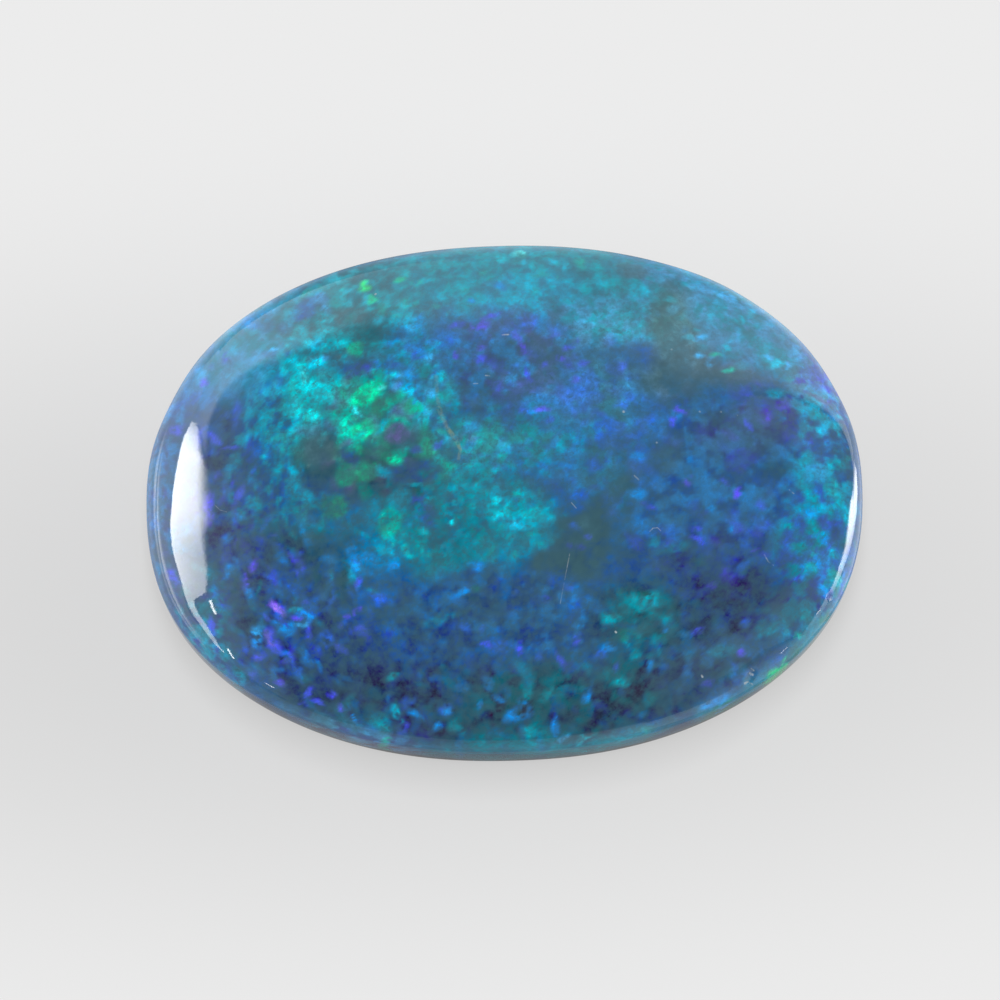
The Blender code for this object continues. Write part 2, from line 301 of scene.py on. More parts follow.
# x, y, half-length, half-width (mm), turn (degrees), colour, strength
colour_patches = (
    # left end
    (-6.12, -1.25, 0.85, 0.32, 88, "slate", 0.5),
    # top left
    (-5.20, 2.40, 0.42, 0.22, 20, "haze", 0.6),
    (-5.35, 2.80, 0.15, 0.07, 85, "violet_blue", 0.6),
    (-4.45, 2.92, 0.09, 0.04, 0, "sky", 0.7),
    (-4.80, 3.28, 0.12, 0.06, 15, "cyan", 0.7),
    (-3.78, 3.22, 0.22, 0.16, 0, "turquoise", 0.8),
    (-3.75, 3.75, 0.40, 0.20, 30, "indigo", 0.5),
    (-3.48, 3.84, 0.24, 0.13, -60, "sky", 0.7),
    (-4.75, 3.62, 0.35, 0.18, 25, "azure", 0.3),
    (-2.40, 3.10, 0.60, 0.20, 0, "dark_teal", 0.5),
    (-2.92, 3.50, 0.36, 0.20, 0, "slate", 0.6),
    (-2.65, 4.15, 0.11, 0.10, 0, "bright_green", 1.0),
    (-2.48, 3.83, 0.12, 0.10, 0, "green", 0.9),
    (-2.33, 3.40, 0.10, 0.06, 20, "cyan", 0.9),
    (-2.80, 2.78, 0.15, 0.18, 0, "green", 0.75),
    (-3.12, 2.68, 0.19, 0.13, 0, "slate", 0.9),
    (-3.64, 2.70, 0.12, 0.08, 0, "slate", 0.9),
    (-3.40, 2.65, 0.08, 0.07, 40, "sky", 0.9),
    (-2.75, 2.35, 0.36, 0.12, 15, "indigo", 0.9),
    (-2.38, 2.28, 0.15, 0.12, -30, "emerald", 0.7),
    (-2.15, 2.18, 0.11, 0.05, 20, "bright_cyan", 0.9),
    (-3.62, 2.50, 0.30, 0.16, 80, "cyan", 0.8),
    (-3.88, 2.25, 0.22, 0.05, -70, "glint", 0.6),
    (-3.60, 1.98, 0.36, 0.24, 75, "bright_cyan", 0.8),
    (-3.82, 1.72, 0.14, 0.10, 40, "teal", 0.7),
    (-3.44, 2.22, 0.10, 0.07, 10, "teal", 0.6),
    (-3.36, 1.48, 0.12, 0.08, 30, "turquoise", 0.7),
    (-4.04, 1.42, 0.24, 0.08, -68, "bright_cyan", 0.9),
    (-4.30, 1.45, 0.20, 0.05, 88, "cyan", 0.6),
    (-3.17, 1.66, 0.18, 0.12, 20, "slate", 0.95),
    (-2.62, 1.85, 0.36, 0.20, 35, "green", 1.0),
    (-2.95, 2.00, 0.10, 0.07, 30, "bright_cyan", 0.9),
    (-2.40, 1.55, 0.21, 0.20, 70, "moss", 1.0),
    (-3.10, 1.45, 0.20, 0.12, 80, "emerald", 0.8),
    (-2.82, 1.50, 0.17, 0.07, -55, "bright_cyan", 0.9),
    (-2.84, 1.52, 0.12, 0.04, -55, "glint", 0.7),
    (-2.76, 1.10, 0.27, 0.18, 15, "green", 1.0),
    (-2.80, 1.02, 0.12, 0.07, 30, "bright_cyan", 0.6),
    (-3.75, 1.20, 0.25, 0.14, 10, "plum", 0.3),
    (-3.60, 0.80, 0.34, 0.28, 0, "slate", 0.8),
    (-3.06, 1.10, 0.18, 0.14, 60, "emerald", 0.8),
    (-2.84, 0.92, 0.15, 0.10, 60, "emerald", 0.8),
    (-2.97, 0.62, 0.16, 0.20, 40, "navy", 0.9),
    (-3.42, 0.32, 0.18, 0.14, 60, "dark_teal", 0.7),
    (-4.10, 0.32, 0.30, 0.08, -80, "cyan", 0.7),
    (-3.10, 0.23, 0.20, 0.22, 0, "moss", 0.9),
    (-2.66, 0.31, 0.26, 0.20, 20, "moss", 0.9),
    (-2.48, 0.80, 0.28, 0.22, -20, "moss", 0.7),
    (-2.34, 0.26, 0.17, 0.11, -40, "cyan", 0.75),
    (-2.12, 0.45, 0.12, 0.08, -20, "green", 0.9),
    (-2.30, 0.60, 0.16, 0.12, 0, "moss", 0.8),
    (-2.09, 1.02, 0.24, 0.19, 10, "plum", 0.75),
    (-2.30, 1.28, 0.24, 0.05, 60, "cyan", 0.7),
    (-2.02, 1.48, 0.13, 0.10, 0, "indigo", 0.3),
    (-1.78, 2.25, 0.13, 0.12, 0, "azure", 0.9),
    (-1.60, 2.60, 0.10, 0.09, 0, "royal", 0.9),
    (-1.46, 2.52, 0.08, 0.10, 0, "sky", 0.7),
    (-1.55, 2.78, 0.08, 0.07, 0, "azure", 0.9),
    (-1.36, 1.85, 0.12, 0.10, 70, "sky", 0.9),
    (-1.78, 1.85, 0.10, 0.06, 80, "cyan", 0.8),
    (-0.90, 1.84, 0.16, 0.11, 0, "cyan", 0.6),
    (-1.90, 1.98, 0.14, 0.10, 30, "azure", 0.5),
    (-2.36, 1.94, 0.10, 0.05, 20, "glint", 0.6),
    (-0.90, 1.55, 0.15, 0.09, 80, "turquoise", 0.6),
    (-1.72, 1.55, 0.17, 0.12, -10, "green", 0.9),
    (-1.42, 1.30, 0.14, 0.08, 60, "bright_cyan", 0.9),
    (-1.20, 1.32, 0.08, 0.05, 30, "bright_cyan", 0.6),
    (-1.30, 0.75, 0.07, 0.06, 0, "violet_blue", 0.7),
    (-1.70, 0.70, 0.10, 0.09, 0, "indigo", 0.8),
    (-1.00, 1.10, 0.22, 0.14, 80, "moss", 0.3),
    (-1.55, 1.00, 0.22, 0.07, 80, "emerald", 0.9),
    (-0.75, 0.86, 0.25, 0.12, 0, "plum", 0.4),
    (-1.33, 0.36, 0.12, 0.09, 0, "emerald", 0.9),
    (-1.74, 0.24, 0.56, 0.26, 6, "navy", 0.85),
    (-1.75, 0.00, 0.12, 0.04, 0, "turquoise", 0.8),
    # top centre
    (-0.40, 3.20, 0.18, 0.12, 10, "violet", 0.95),
    (-0.15, 3.40, 0.16, 0.06, 20, "violet_blue", 0.8),
    (-0.85, 3.20, 0.15, 0.05, 10, "violet_blue", 0.8),
    (-1.00, 2.88, 0.16, 0.14, 60, "royal", 0.7),
    (-1.55, 3.38, 0.15, 0.09, 70, "azure", 0.6),
    (-0.38, 2.72, 0.08, 0.06, 0, "violet", 0.6),
    (-0.38, 2.47, 0.10, 0.08, 60, "violet_blue", 1.0),
    (-0.90, 2.57, 0.07, 0.05, 80, "violet", 0.9),
    (0.36, 2.82, 0.26, 0.07, -62, "violet", 0.6),
    (0.50, 3.22, 0.26, 0.18, 30, "violet_blue", 0.35),
    (0.50, 2.14, 0.16, 0.05, -70, "violet_blue", 1.0),
    (0.86, 2.32, 0.07, 0.05, 60, "violet_blue", 0.6),
    (1.35, 2.76, 0.15, 0.06, 25, "violet_blue", 0.9),
    (1.14, 2.50, 0.08, 0.07, 0, "violet", 0.9),
    (1.32, 2.36, 0.16, 0.07, -50, "violet_blue", 0.7),
    (1.60, 2.34, 0.10, 0.07, 30, "violet_blue", 0.8),
    (1.45, 2.00, 0.10, 0.06, 0, "violet", 0.5),
    (1.62, 1.80, 0.32, 0.10, 0, "royal", 0.5),
    (0.78, 1.42, 0.14, 0.06, -10, "violet", 0.8),
    (0.92, 1.20, 0.09, 0.06, 60, "violet_blue", 0.8),
    (0.38, 1.42, 0.12, 0.06, 0, "violet_blue", 0.6),
    (0.72, 1.30, 0.30, 0.09, -22, "azure", 0.4),
    (0.80, 2.40, 0.36, 0.07, 22, "dark_teal", 0.25),
    (2.32, 2.82, 0.14, 0.11, 50, "cyan", 0.4),
    (0.42, 4.78, 0.15, 0.09, 0, "glint", 1.0),
    (0.52, 4.55, 0.06, 0.05, 0, "cyan", 0.9),
    (1.02, 4.58, 0.08, 0.06, 0, "cyan", 0.7),
    (1.32, 4.45, 0.08, 0.07, 0, "cyan", 0.8),
    (1.95, 4.05, 0.20, 0.10, 0, "cyan", 0.5),
    (2.18, 3.80, 0.15, 0.10, 0, "cyan", 0.5),
    (0.00, 4.05, 0.15, 0.09, 0, "azure", 0.6),
    (0.32, 3.74, 0.15, 0.07, 30, "cyan", 0.6),
    (-0.56, 3.70, 0.07, 0.06, 0, "azure", 0.7),
    (-1.20, 3.80, 0.12, 0.07, 0, "cyan", 0.5),
    (-0.80, 4.20, 0.22, 0.08, -30, "turquoise", 0.7),
    (-1.60, 4.18, 0.09, 0.08, 0, "emerald", 1.0),
    (-1.92, 4.30, 0.13, 0.06, 0, "green", 0.8),
    (-2.00, 3.75, 0.10, 0.07, 70, "cyan", 0.5),
    (1.42, 3.30, 0.22, 0.05, 0, "cyan", 0.35),
    (2.70, 3.88, 0.20, 0.18, 0, "cyan", 0.7),
    (2.55, 3.50, 0.12, 0.10, 0, "cyan", 0.6),
    (2.75, 3.30, 0.34, 0.13, 80, "turquoise", 0.5),
    (2.60, 4.38, 0.40, 0.20, -6, "slate", 0.7),
    # top right
    (4.15, 4.00, 0.30, 0.12, -10, "sky", 0.5),
    (4.40, 3.86, 0.11, 0.09, 0, "sky", 1.0),
    (4.60, 3.70, 0.16, 0.08, -30, "sky", 0.8),
    (4.66, 3.30, 0.10, 0.08, 0, "cyan", 1.0),
    (4.95, 3.45, 0.09, 0.07, 60, "cyan", 0.5),
    (4.15, 3.40, 0.12, 0.08, 60, "cyan", 0.4),
    (3.85, 3.10, 0.10, 0.04, 10, "cyan", 0.6),
    (3.92, 2.88, 0.16, 0.06, 15, "sky", 0.9),
    (3.68, 2.80, 0.10, 0.05, 10, "cyan", 0.6),
    (4.42, 2.68, 0.14, 0.06, 0, "cyan", 0.8),
    (3.90, 2.50, 0.13, 0.06, -35, "sky", 0.9),
    (4.20, 2.50, 0.11, 0.05, 25, "emerald", 0.8),
    (4.10, 2.36, 0.09, 0.07, 40, "sky", 0.8),
    (4.42, 2.20, 0.12, 0.04, 0, "emerald", 0.6),
    (5.12, 2.82, 0.20, 0.09, -60, "cyan", 0.5),
    (5.25, 2.52, 0.10, 0.05, -20, "sky", 0.7),
    (5.40, 2.38, 0.15, 0.08, 20, "cyan", 1.0),
    (5.62, 2.32, 0.07, 0.05, 0, "sky", 1.0),
    (5.80, 2.65, 0.18, 0.07, -60, "sky", 0.7),
    (5.62, 2.08, 0.12, 0.05, 0, "turquoise", 0.5),
    (5.35, 1.78, 0.18, 0.10, 0, "turquoise", 0.5),
    (6.15, 2.15, 0.36, 0.16, -50, "violet_blue", 0.4),
    (6.20, 1.72, 0.24, 0.06, -25, "plum", 0.8),
    (6.18, 1.36, 0.20, 0.09, -20, "turquoise", 0.9),
    (6.46, 1.10, 0.16, 0.10, -40, "cyan", 0.9),
    (6.58, 1.36, 0.08, 0.06, 0, "cyan", 0.7),
    (6.00, 0.80, 0.22, 0.12, 30, "indigo", 0.6),
    (6.15, 0.55, 0.06, 0.06, 0, "azure", 0.7),
    (6.50, 0.40, 0.14, 0.11, 0, "turquoise", 0.8),
    (6.72, 0.60, 0.16, 0.06, 85, "turquoise", 0.8),
    (6.08, 0.18, 0.34, 0.22, -10, "cyan", 0.6),
    (6.08, 0.15, 0.26, 0.18, 30, "sky", 0.5),
    (6.02, -0.12, 0.10, 0.05, 0, "azure", 0.8),
    (5.85, 0.42, 0.15, 0.12, 0, "cyan", 0.5),
    (3.52, 1.38, 0.13, 0.08, -20, "violet", 1.0),
    (3.30, 1.15, 0.09, 0.06, 60, "violet_blue", 0.9),
    (2.90, 1.20, 0.12, 0.10, 0, "royal", 0.6),
    (4.80, 1.08, 0.10, 0.05, -50, "violet_blue", 1.0),
    (5.20, 1.20, 0.11, 0.08, 80, "violet", 0.5),
    (5.50, 1.52, 0.12, 0.09, 0, "violet", 0.45),
    (4.70, 1.70, 0.26, 0.14, -20, "indigo", 0.7),
    (4.62, 0.36, 0.32, 0.22, 20, "indigo", 0.6),
    (3.55, 0.00, 0.12, 0.07, 80, "violet", 1.0),
    (3.62, 0.36, 0.10, 0.07, 60, "azure", 0.5),
    (2.58, 0.42, 0.12, 0.08, 0, "azure", 0.6),
    (4.50, -0.25, 0.10, 0.07, 80, "violet", 1.0),
    (4.28, -0.05, 0.06, 0.06, 0, "violet_blue", 0.6),
    (2.58, -0.30, 0.16, 0.11, -30, "azure", 0.8),
    (5.20, 0.20, 0.42, 0.18, 10, "dark_teal", 0.5),
    (3.20, 0.50, 0.28, 0.45, 0, "slate", 0.35),
    # left
    (-6.36, 1.45, 0.13, 0.11, 0, "violet_blue", 0.9),
    (-6.08, 2.00, 0.26, 0.10, 25, "royal", 0.7),
    (-5.80, 2.35, 0.10, 0.06, 80, "violet", 0.7),
    (-5.38, 1.55, 0.18, 0.08, -40, "royal", 0.7),
    (-5.60, 1.15, 0.16, 0.07, -35, "violet_blue", 0.8),
    (-5.32, 0.95, 0.15, 0.04, 0, "violet_blue", 0.7),
    (-5.60, 0.40, 0.12, 0.06, 80, "violet_blue", 0.6),
    (-5.14, 0.00, 0.18, 0.06, 65, "violet_blue", 0.8),
    (-5.78, -0.25, 0.10, 0.34, 0, "violet", 0.6),
    (-5.72, -0.20, 0.22, 0.07, 88, "violet_blue", 0.5),
    (-5.18, -0.45, 0.13, 0.06, -60, "azure", 0.6),
    (-5.45, -0.82, 0.10, 0.08, 30, "azure", 0.4),
    (-4.65, -0.62, 0.16, 0.05, 60, "royal", 0.8),
    (-5.40, -1.50, 0.12, 0.07, 70, "azure", 0.5),
    (-5.00, -1.60, 0.27, 0.08, 62, "violet", 1.0),
    (-5.10, -1.92, 0.14, 0.09, 30, "azure", 0.6),
    (-5.30, -1.82, 0.24, 0.04, 75, "dark_teal", 0.9),
    (-4.85, -1.85, 0.12, 0.05, 70, "deep_teal", 0.9),
    (-4.22, -0.70, 0.25, 0.04, -62, "turquoise", 0.6),
    (-3.88, -0.15, 0.17, 0.10, -60, "cyan", 0.6),
    (-3.80, -0.70, 0.30, 0.18, 0, "steel", 0.3),
    (-3.30, -0.35, 0.28, 0.24, 20, "moss", 1.0),
    (-4.16, -1.30, 0.16, 0.04, -62, "violet_blue", 0.6),
    (-3.74, -1.20, 0.26, 0.17, 60, "dark_teal", 0.8),
    (-6.50, -1.50, 0.14, 0.10, -60, "violet_blue", 0.8),
    (-5.76, -2.52, 0.18, 0.05, -70, "violet_blue", 0.9),
    (-5.30, -3.45, 0.14, 0.09, -70, "cyan", 0.6),
    # lower left
    (-2.95, -1.16, 0.16, 0.12, 30, "azure", 0.8),
    (-2.68, -1.40, 0.15, 0.08, 10, "azure", 0.7),
    (-3.50, -1.88, 0.24, 0.06, 85, "steel", 0.4),
    (-3.15, -1.80, 0.36, 0.11, 84, "dark_teal", 1.0),
    (-3.66, -1.68, 0.24, 0.09, 80, "dark_teal", 0.9),
    (-2.86, -1.90, 0.14, 0.05, 80, "violet_blue", 0.8),
    (-2.52, -2.20, 0.14, 0.11, -20, "royal", 1.0),
    (-3.40, -2.12, 0.22, 0.06, 85, "royal", 0.8),
    (-3.90, -2.16, 0.10, 0.04, 0, "violet_blue", 0.9),
    (-4.46, -2.30, 0.19, 0.05, -45, "magenta", 1.0),
    (-4.10, -2.34, 0.12, 0.05, 25, "cyan", 0.7),
    (-3.94, -2.42, 0.14, 0.05, -45, "azure", 0.6),
    (-4.10, -2.52, 0.09, 0.05, 0, "violet", 0.8),
    (-4.30, -2.72, 0.17, 0.11, 10, "azure", 1.0),
    (-4.00, -2.66, 0.13, 0.05, 10, "sky", 0.9),
    (-3.84, -2.52, 0.09, 0.07, -40, "azure", 0.8),
    (-4.87, -2.76, 0.21, 0.11, 78, "azure", 0.9),
    (-4.86, -2.70, 0.12, 0.07, 78, "sky", 0.6),
    (-4.58, -2.92, 0.28, 0.09, -68, "violet_blue", 0.9),
    (-4.64, -2.82, 0.16, 0.03, -62, "magenta", 0.8),
    (-4.32, -3.25, 0.15, 0.08, 20, "violet_blue", 0.6),
    (-4.86, -3.14, 0.09, 0.06, 0, "violet_blue", 0.8),
    (-3.50, -2.94, 0.16, 0.10, -70, "royal", 1.0),
    (-3.34, -3.10, 0.08, 0.05, 0, "violet_blue", 0.8),
    (-3.66, -3.10, 0.07, 0.05, 0, "royal", 0.8),
    (-3.18, -3.15, 0.09, 0.06, -40, "violet_blue", 0.4),
    (-3.12, -2.46, 0.07, 0.05, 0, "violet", 0.9),
    (-2.92, -2.40, 0.08, 0.05, 40, "violet", 0.9),
    (-3.25, -2.70, 0.06, 0.05, 60, "violet_blue", 0.7),
    (-2.85, -2.76, 0.08, 0.05, 0, "violet_blue", 0.6),
    (-4.12, -3.48, 0.15, 0.09, -60, "royal", 0.8),
    (-5.00, -3.48, 0.09, 0.07, 0, "violet_blue", 0.7),
    (-4.46, -3.66, 0.08, 0.05, 15, "violet", 0.6),
    (-3.98, -3.20, 0.26, 0.12, -50, "steel", 0.6),
    (-3.90, -3.88, 0.12, 0.07, 40, "violet_blue", 0.8),
    (-4.05, -4.04, 0.09, 0.04, -20, "violet_blue", 0.8),
    (-3.74, -4.04, 0.11, 0.04, -30, "violet_blue", 0.9),
    (-3.42, -3.94, 0.09, 0.05, 0, "violet_blue", 0.8),
    (-3.26, -4.18, 0.07, 0.06, 0, "violet", 0.7),
    (-3.12, -4.12, 0.12, 0.07, 60, "teal", 0.8),
    (-3.04, -4.36, 0.17, 0.03, -72, "azure", 0.8),
    (-2.26, -3.72, 0.12, 0.06, 20, "turquoise", 0.9),
    (-2.52, -4.52, 0.22, 0.12, -25, "turquoise", 0.9),
    (-2.42, -4.78, 0.12, 0.05, 0, "emerald", 0.7),
    (-2.20, -4.36, 0.14, 0.08, -50, "cyan", 1.0),
    # bottom centre
    (-2.25, -0.75, 0.28, 0.22, 70, "emerald", 0.8),
    (-1.66, -0.95, 0.14, 0.08, -30, "bright_cyan", 0.6),
    (-0.96, -0.37, 0.08, 0.05, 10, "bright_cyan", 0.6),
    (-1.04, -0.80, 0.06, 0.05, 0, "bright_cyan", 0.9),
    (-0.10, -0.52, 0.22, 0.14, 10, "bright_cyan", 0.6),
    (0.16, -0.45, 0.12, 0.05, 80, "azure", 0.5),
    (0.22, -0.86, 0.22, 0.15, 0, "cyan", 0.5),
    (0.65, -0.65, 0.17, 0.12, 20, "emerald", 0.6),
    (0.66, -1.20, 0.10, 0.08, 40, "emerald", 0.7),
    (-0.55, -1.66, 0.17, 0.07, -10, "azure", 0.6),
    (-2.20, -1.62, 0.11, 0.08, 0, "azure", 0.9),
    (-2.36, -1.28, 0.20, 0.08, -30, "cyan", 0.7),
    (-2.75, -0.95, 0.20, 0.05, -35, "turquoise", 0.4),
    (-1.15, -1.32, 0.12, 0.07, -20, "cyan", 0.6),
    (-1.72, -0.28, 0.15, 0.16, 0, "indigo", 0.7),
    (-1.52, -0.62, 0.22, 0.16, -50, "indigo", 0.7),
    (-2.05, -0.28, 0.24, 0.18, 40, "teal", 0.8),
    (-0.62, -2.10, 0.09, 0.07, 20, "moss", 1.0),
    (-0.72, -2.26, 0.20, 0.08, -20, "dark_teal", 0.7),
    (-0.86, -2.14, 0.13, 0.08, -10, "azure", 1.0),
    (0.72, -2.34, 0.10, 0.07, 0, "violet_blue", 0.5),
    (1.18, -2.10, 0.14, 0.08, -20, "royal", 0.8),
    (0.20, -2.20, 0.08, 0.06, 0, "royal", 0.7),
    (-1.32, -2.66, 0.36, 0.08, 16, "teal", 0.6),
    (-0.85, -2.82, 0.10, 0.07, 0, "royal", 0.8),
    (-0.52, -2.82, 0.06, 0.08, 0, "royal", 0.6),
    (1.42, -2.74, 0.22, 0.07, 80, "azure", 0.8),
    (1.34, -3.06, 0.11, 0.07, 50, "violet_blue", 0.7),
    (-0.12, -3.20, 0.17, 0.14, 0, "royal", 0.8),
    (-0.44, -3.15, 0.11, 0.05, 0, "violet_blue", 0.7),
    (0.20, -3.20, 0.12, 0.06, 80, "violet_blue", 1.0),
    (0.60, -3.40, 0.09, 0.06, -60, "royal", 0.9),
    (0.98, -3.45, 0.15, 0.05, -65, "violet_blue", 0.9),
    (1.14, -3.62, 0.13, 0.10, 0, "indigo", 0.8),
    (0.30, -3.70, 0.26, 0.12, -50, "teal", 0.6),
    (0.35, -4.06, 0.16, 0.11, 60, "turquoise", 0.7),
    (0.76, -4.10, 0.17, 0.11, 30, "turquoise", 0.7),
    (0.12, -4.46, 0.24, 0.12, 20, "azure", 0.9),
    (0.30, -4.30, 0.15, 0.06, -35, "azure", 0.7),
    (-0.20, -4.16, 0.10, 0.05, -25, "azure", 0.6),
    (-0.62, -4.28, 0.07, 0.05, 80, "azure", 0.7),
    (-1.26, -4.32, 0.15, 0.11, 10, "royal", 0.9),
    (-1.24, -4.36, 0.08, 0.06, 10, "azure", 0.9),
    (-1.40, -4.64, 0.10, 0.07, 80, "azure", 1.0),
    (-1.06, -4.66, 0.17, 0.10, -20, "turquoise", 0.6),
    (-1.84, -4.38, 0.15, 0.05, -35, "azure", 0.9),
    (-2.00, -4.16, 0.14, 0.10, 20, "royal", 0.8),
    (-2.10, -4.60, 0.10, 0.08, 0, "violet_blue", 0.6),
    (-0.42, -3.88, 0.14, 0.09, -50, "azure", 0.5),
    (-0.92, -3.90, 0.14, 0.11, 0, "steel", 0.8),
    (0.90, -4.66, 0.18, 0.07, 84, "azure", 1.0),
    (1.02, -4.84, 0.12, 0.05, 0, "sky", 0.8),
    (0.50, -4.76, 0.26, 0.10, 10, "turquoise", 0.7),
    (1.50, -4.16, 0.10, 0.07, 40, "azure", 0.9),
    (1.32, -4.08, 0.12, 0.06, 20, "teal", 0.8),
    (2.00, -2.70, 0.17, 0.10, -10, "turquoise", 1.0),
    (2.42, -2.46, 0.26, 0.18, 0, "turquoise", 0.6),
    (1.92, -3.28, 0.13, 0.09, 30, "azure", 1.0),
    (1.78, -3.40, 0.15, 0.08, 20, "royal", 0.8),
    (2.20, -3.87, 0.14, 0.08, 0, "turquoise", 1.0),
    (2.12, -3.60, 0.07, 0.07, 0, "violet_blue", 0.6),
    (1.98, -2.98, 0.28, 0.10, 10, "ink", 0.8),
    (1.20, -4.55, 0.60, 0.18, 6, "ink", 0.25),
    (0.70, -0.72, 0.24, 0.20, 20, "cyan", 0.60),
    (0.86, -0.98, 0.22, 0.20, 30, "teal", 0.80),
    (0.62, -1.22, 0.24, 0.19, 10, "teal", 0.70),
    (1.10, -1.62, 0.70, 0.25, -4, "potch", 1.0),
    (1.64, -1.25, 0.86, 0.34, 78, "potch", 1.0),
    (1.33, -0.98, 0.42, 0.34, 0, "potch", 0.95),
    (1.10, -1.30, 0.30, 0.20, 40, "potch", 0.8),
    (2.15, -0.22, 0.55, 0.20, 40, "potch", 0.7),
    (3.06, 0.40, 0.36, 0.26, 30, "potch", 0.5),
    (1.37, -0.96, 0.14, 0.07, -40, "royal", 0.6),
    (1.60, -1.12, 0.06, 0.06, 0, "violet_blue", 0.7),
    (1.20, -1.27, 0.10, 0.05, -30, "indigo", 0.7),
    (1.42, -1.31, 0.10, 0.05, 0, "indigo", 0.6),
    # lower right
    (2.72, -2.38, 0.22, 0.15, 10, "turquoise", 1.0),
    (2.86, -2.42, 0.07, 0.06, 0, "cyan", 1.0),
    (2.28, -2.98, 0.26, 0.16, 0, "moss", 0.5),
    (2.66, -3.20, 0.26, 0.16, 30, "dark_teal", 0.5),
    (3.04, -2.96, 0.06, 0.05, 0, "azure", 0.8),
    (2.80, -0.55, 0.15, 0.06, -30, "violet_blue", 0.9),
    (4.02, -0.56, 0.10, 0.06, 10, "azure", 0.6),
    (3.66, -0.96, 0.11, 0.06, 0, "violet_blue", 0.7),
    (3.72, -1.20, 0.13, 0.05, -20, "violet_blue", 0.7),
    (4.36, -0.95, 0.07, 0.05, 40, "azure", 0.7),
    (4.96, -0.50, 0.10, 0.10, 0, "violet_blue", 0.5),
    (2.92, -1.25, 0.14, 0.12, 0, "teal", 0.7),
    (3.28, -1.36, 0.30, 0.10, 14, "teal", 0.7),
    (4.85, -1.40, 0.09, 0.05, 0, "violet", 0.6),
    (4.60, -1.70, 0.13, 0.06, 45, "royal", 0.8),
    (3.94, -2.10, 0.10, 0.07, 20, "violet", 0.4),
    (4.45, -1.95, 0.12, 0.08, 0, "indigo", 0.6),
    (5.60, -1.95, 0.07, 0.05, 0, "royal", 0.9),
    (5.80, -1.90, 0.09, 0.06, 40, "azure", 0.8),
    (6.04, -1.60, 0.14, 0.06, -70, "azure", 1.0),
    (6.08, -1.86, 0.09, 0.08, 0, "azure", 0.9),
    (6.16, -2.10, 0.12, 0.06, -60, "azure", 0.8),
    (6.22, -1.14, 0.12, 0.08, 60, "azure", 0.8),
    (6.36, -1.36, 0.08, 0.06, 0, "cyan", 0.8),
    (5.95, -0.55, 0.20, 0.12, 0, "azure", 0.4),
    (6.22, -0.50, 0.15, 0.09, 20, "cyan", 0.6),
    (6.40, -0.10, 0.17, 0.11, -60, "bright_cyan", 0.9),
    (6.64, -0.68, 0.16, 0.05, 85, "cyan", 0.7),
    (6.45, -1.00, 0.14, 0.11, 30, "navy", 0.9),
    (5.70, -1.28, 0.20, 0.14, 30, "turquoise", 0.6),
    (5.12, -2.96, 0.24, 0.08, 10, "teal", 0.8),
    (5.76, -2.60, 0.16, 0.08, 40, "turquoise", 0.8),
    (5.66, -2.95, 0.07, 0.05, 40, "emerald", 0.8),
    (4.15, -3.34, 0.26, 0.12, 0, "teal", 0.6),
    (3.70, -2.95, 0.13, 0.07, 20, "violet_blue", 1.0),
    (3.48, -3.02, 0.10, 0.07, 0, "steel", 0.9),
    (4.55, -3.37, 0.07, 0.06, 0, "violet", 1.0),
    (4.60, -2.80, 0.09, 0.07, 0, "royal", 0.8),
    (2.75, -3.60, 0.14, 0.07, 65, "azure", 0.8),
    (4.35, -3.66, 0.13, 0.07, 80, "royal", 0.5),
    (3.86, -3.92, 0.11, 0.07, 0, "violet", 0.4),
    (4.00, -4.20, 0.26, 0.05, 18, "azure", 0.7),
    (5.16, -3.68, 0.18, 0.08, 42, "bright_green", 1.0),
    (5.34, -3.50, 0.10, 0.05, 55, "bright_green", 0.6),
    (4.36, -4.25, 0.17, 0.04, 28, "turquoise", 0.7),
    (2.80, -4.84, 0.17, 0.06, 6, "turquoise", 0.8),
    (2.40, -4.92, 0.18, 0.05, 0, "turquoise", 0.6),
    (1.42, -4.90, 0.18, 0.04, 20, "turquoise", 0.8),
)


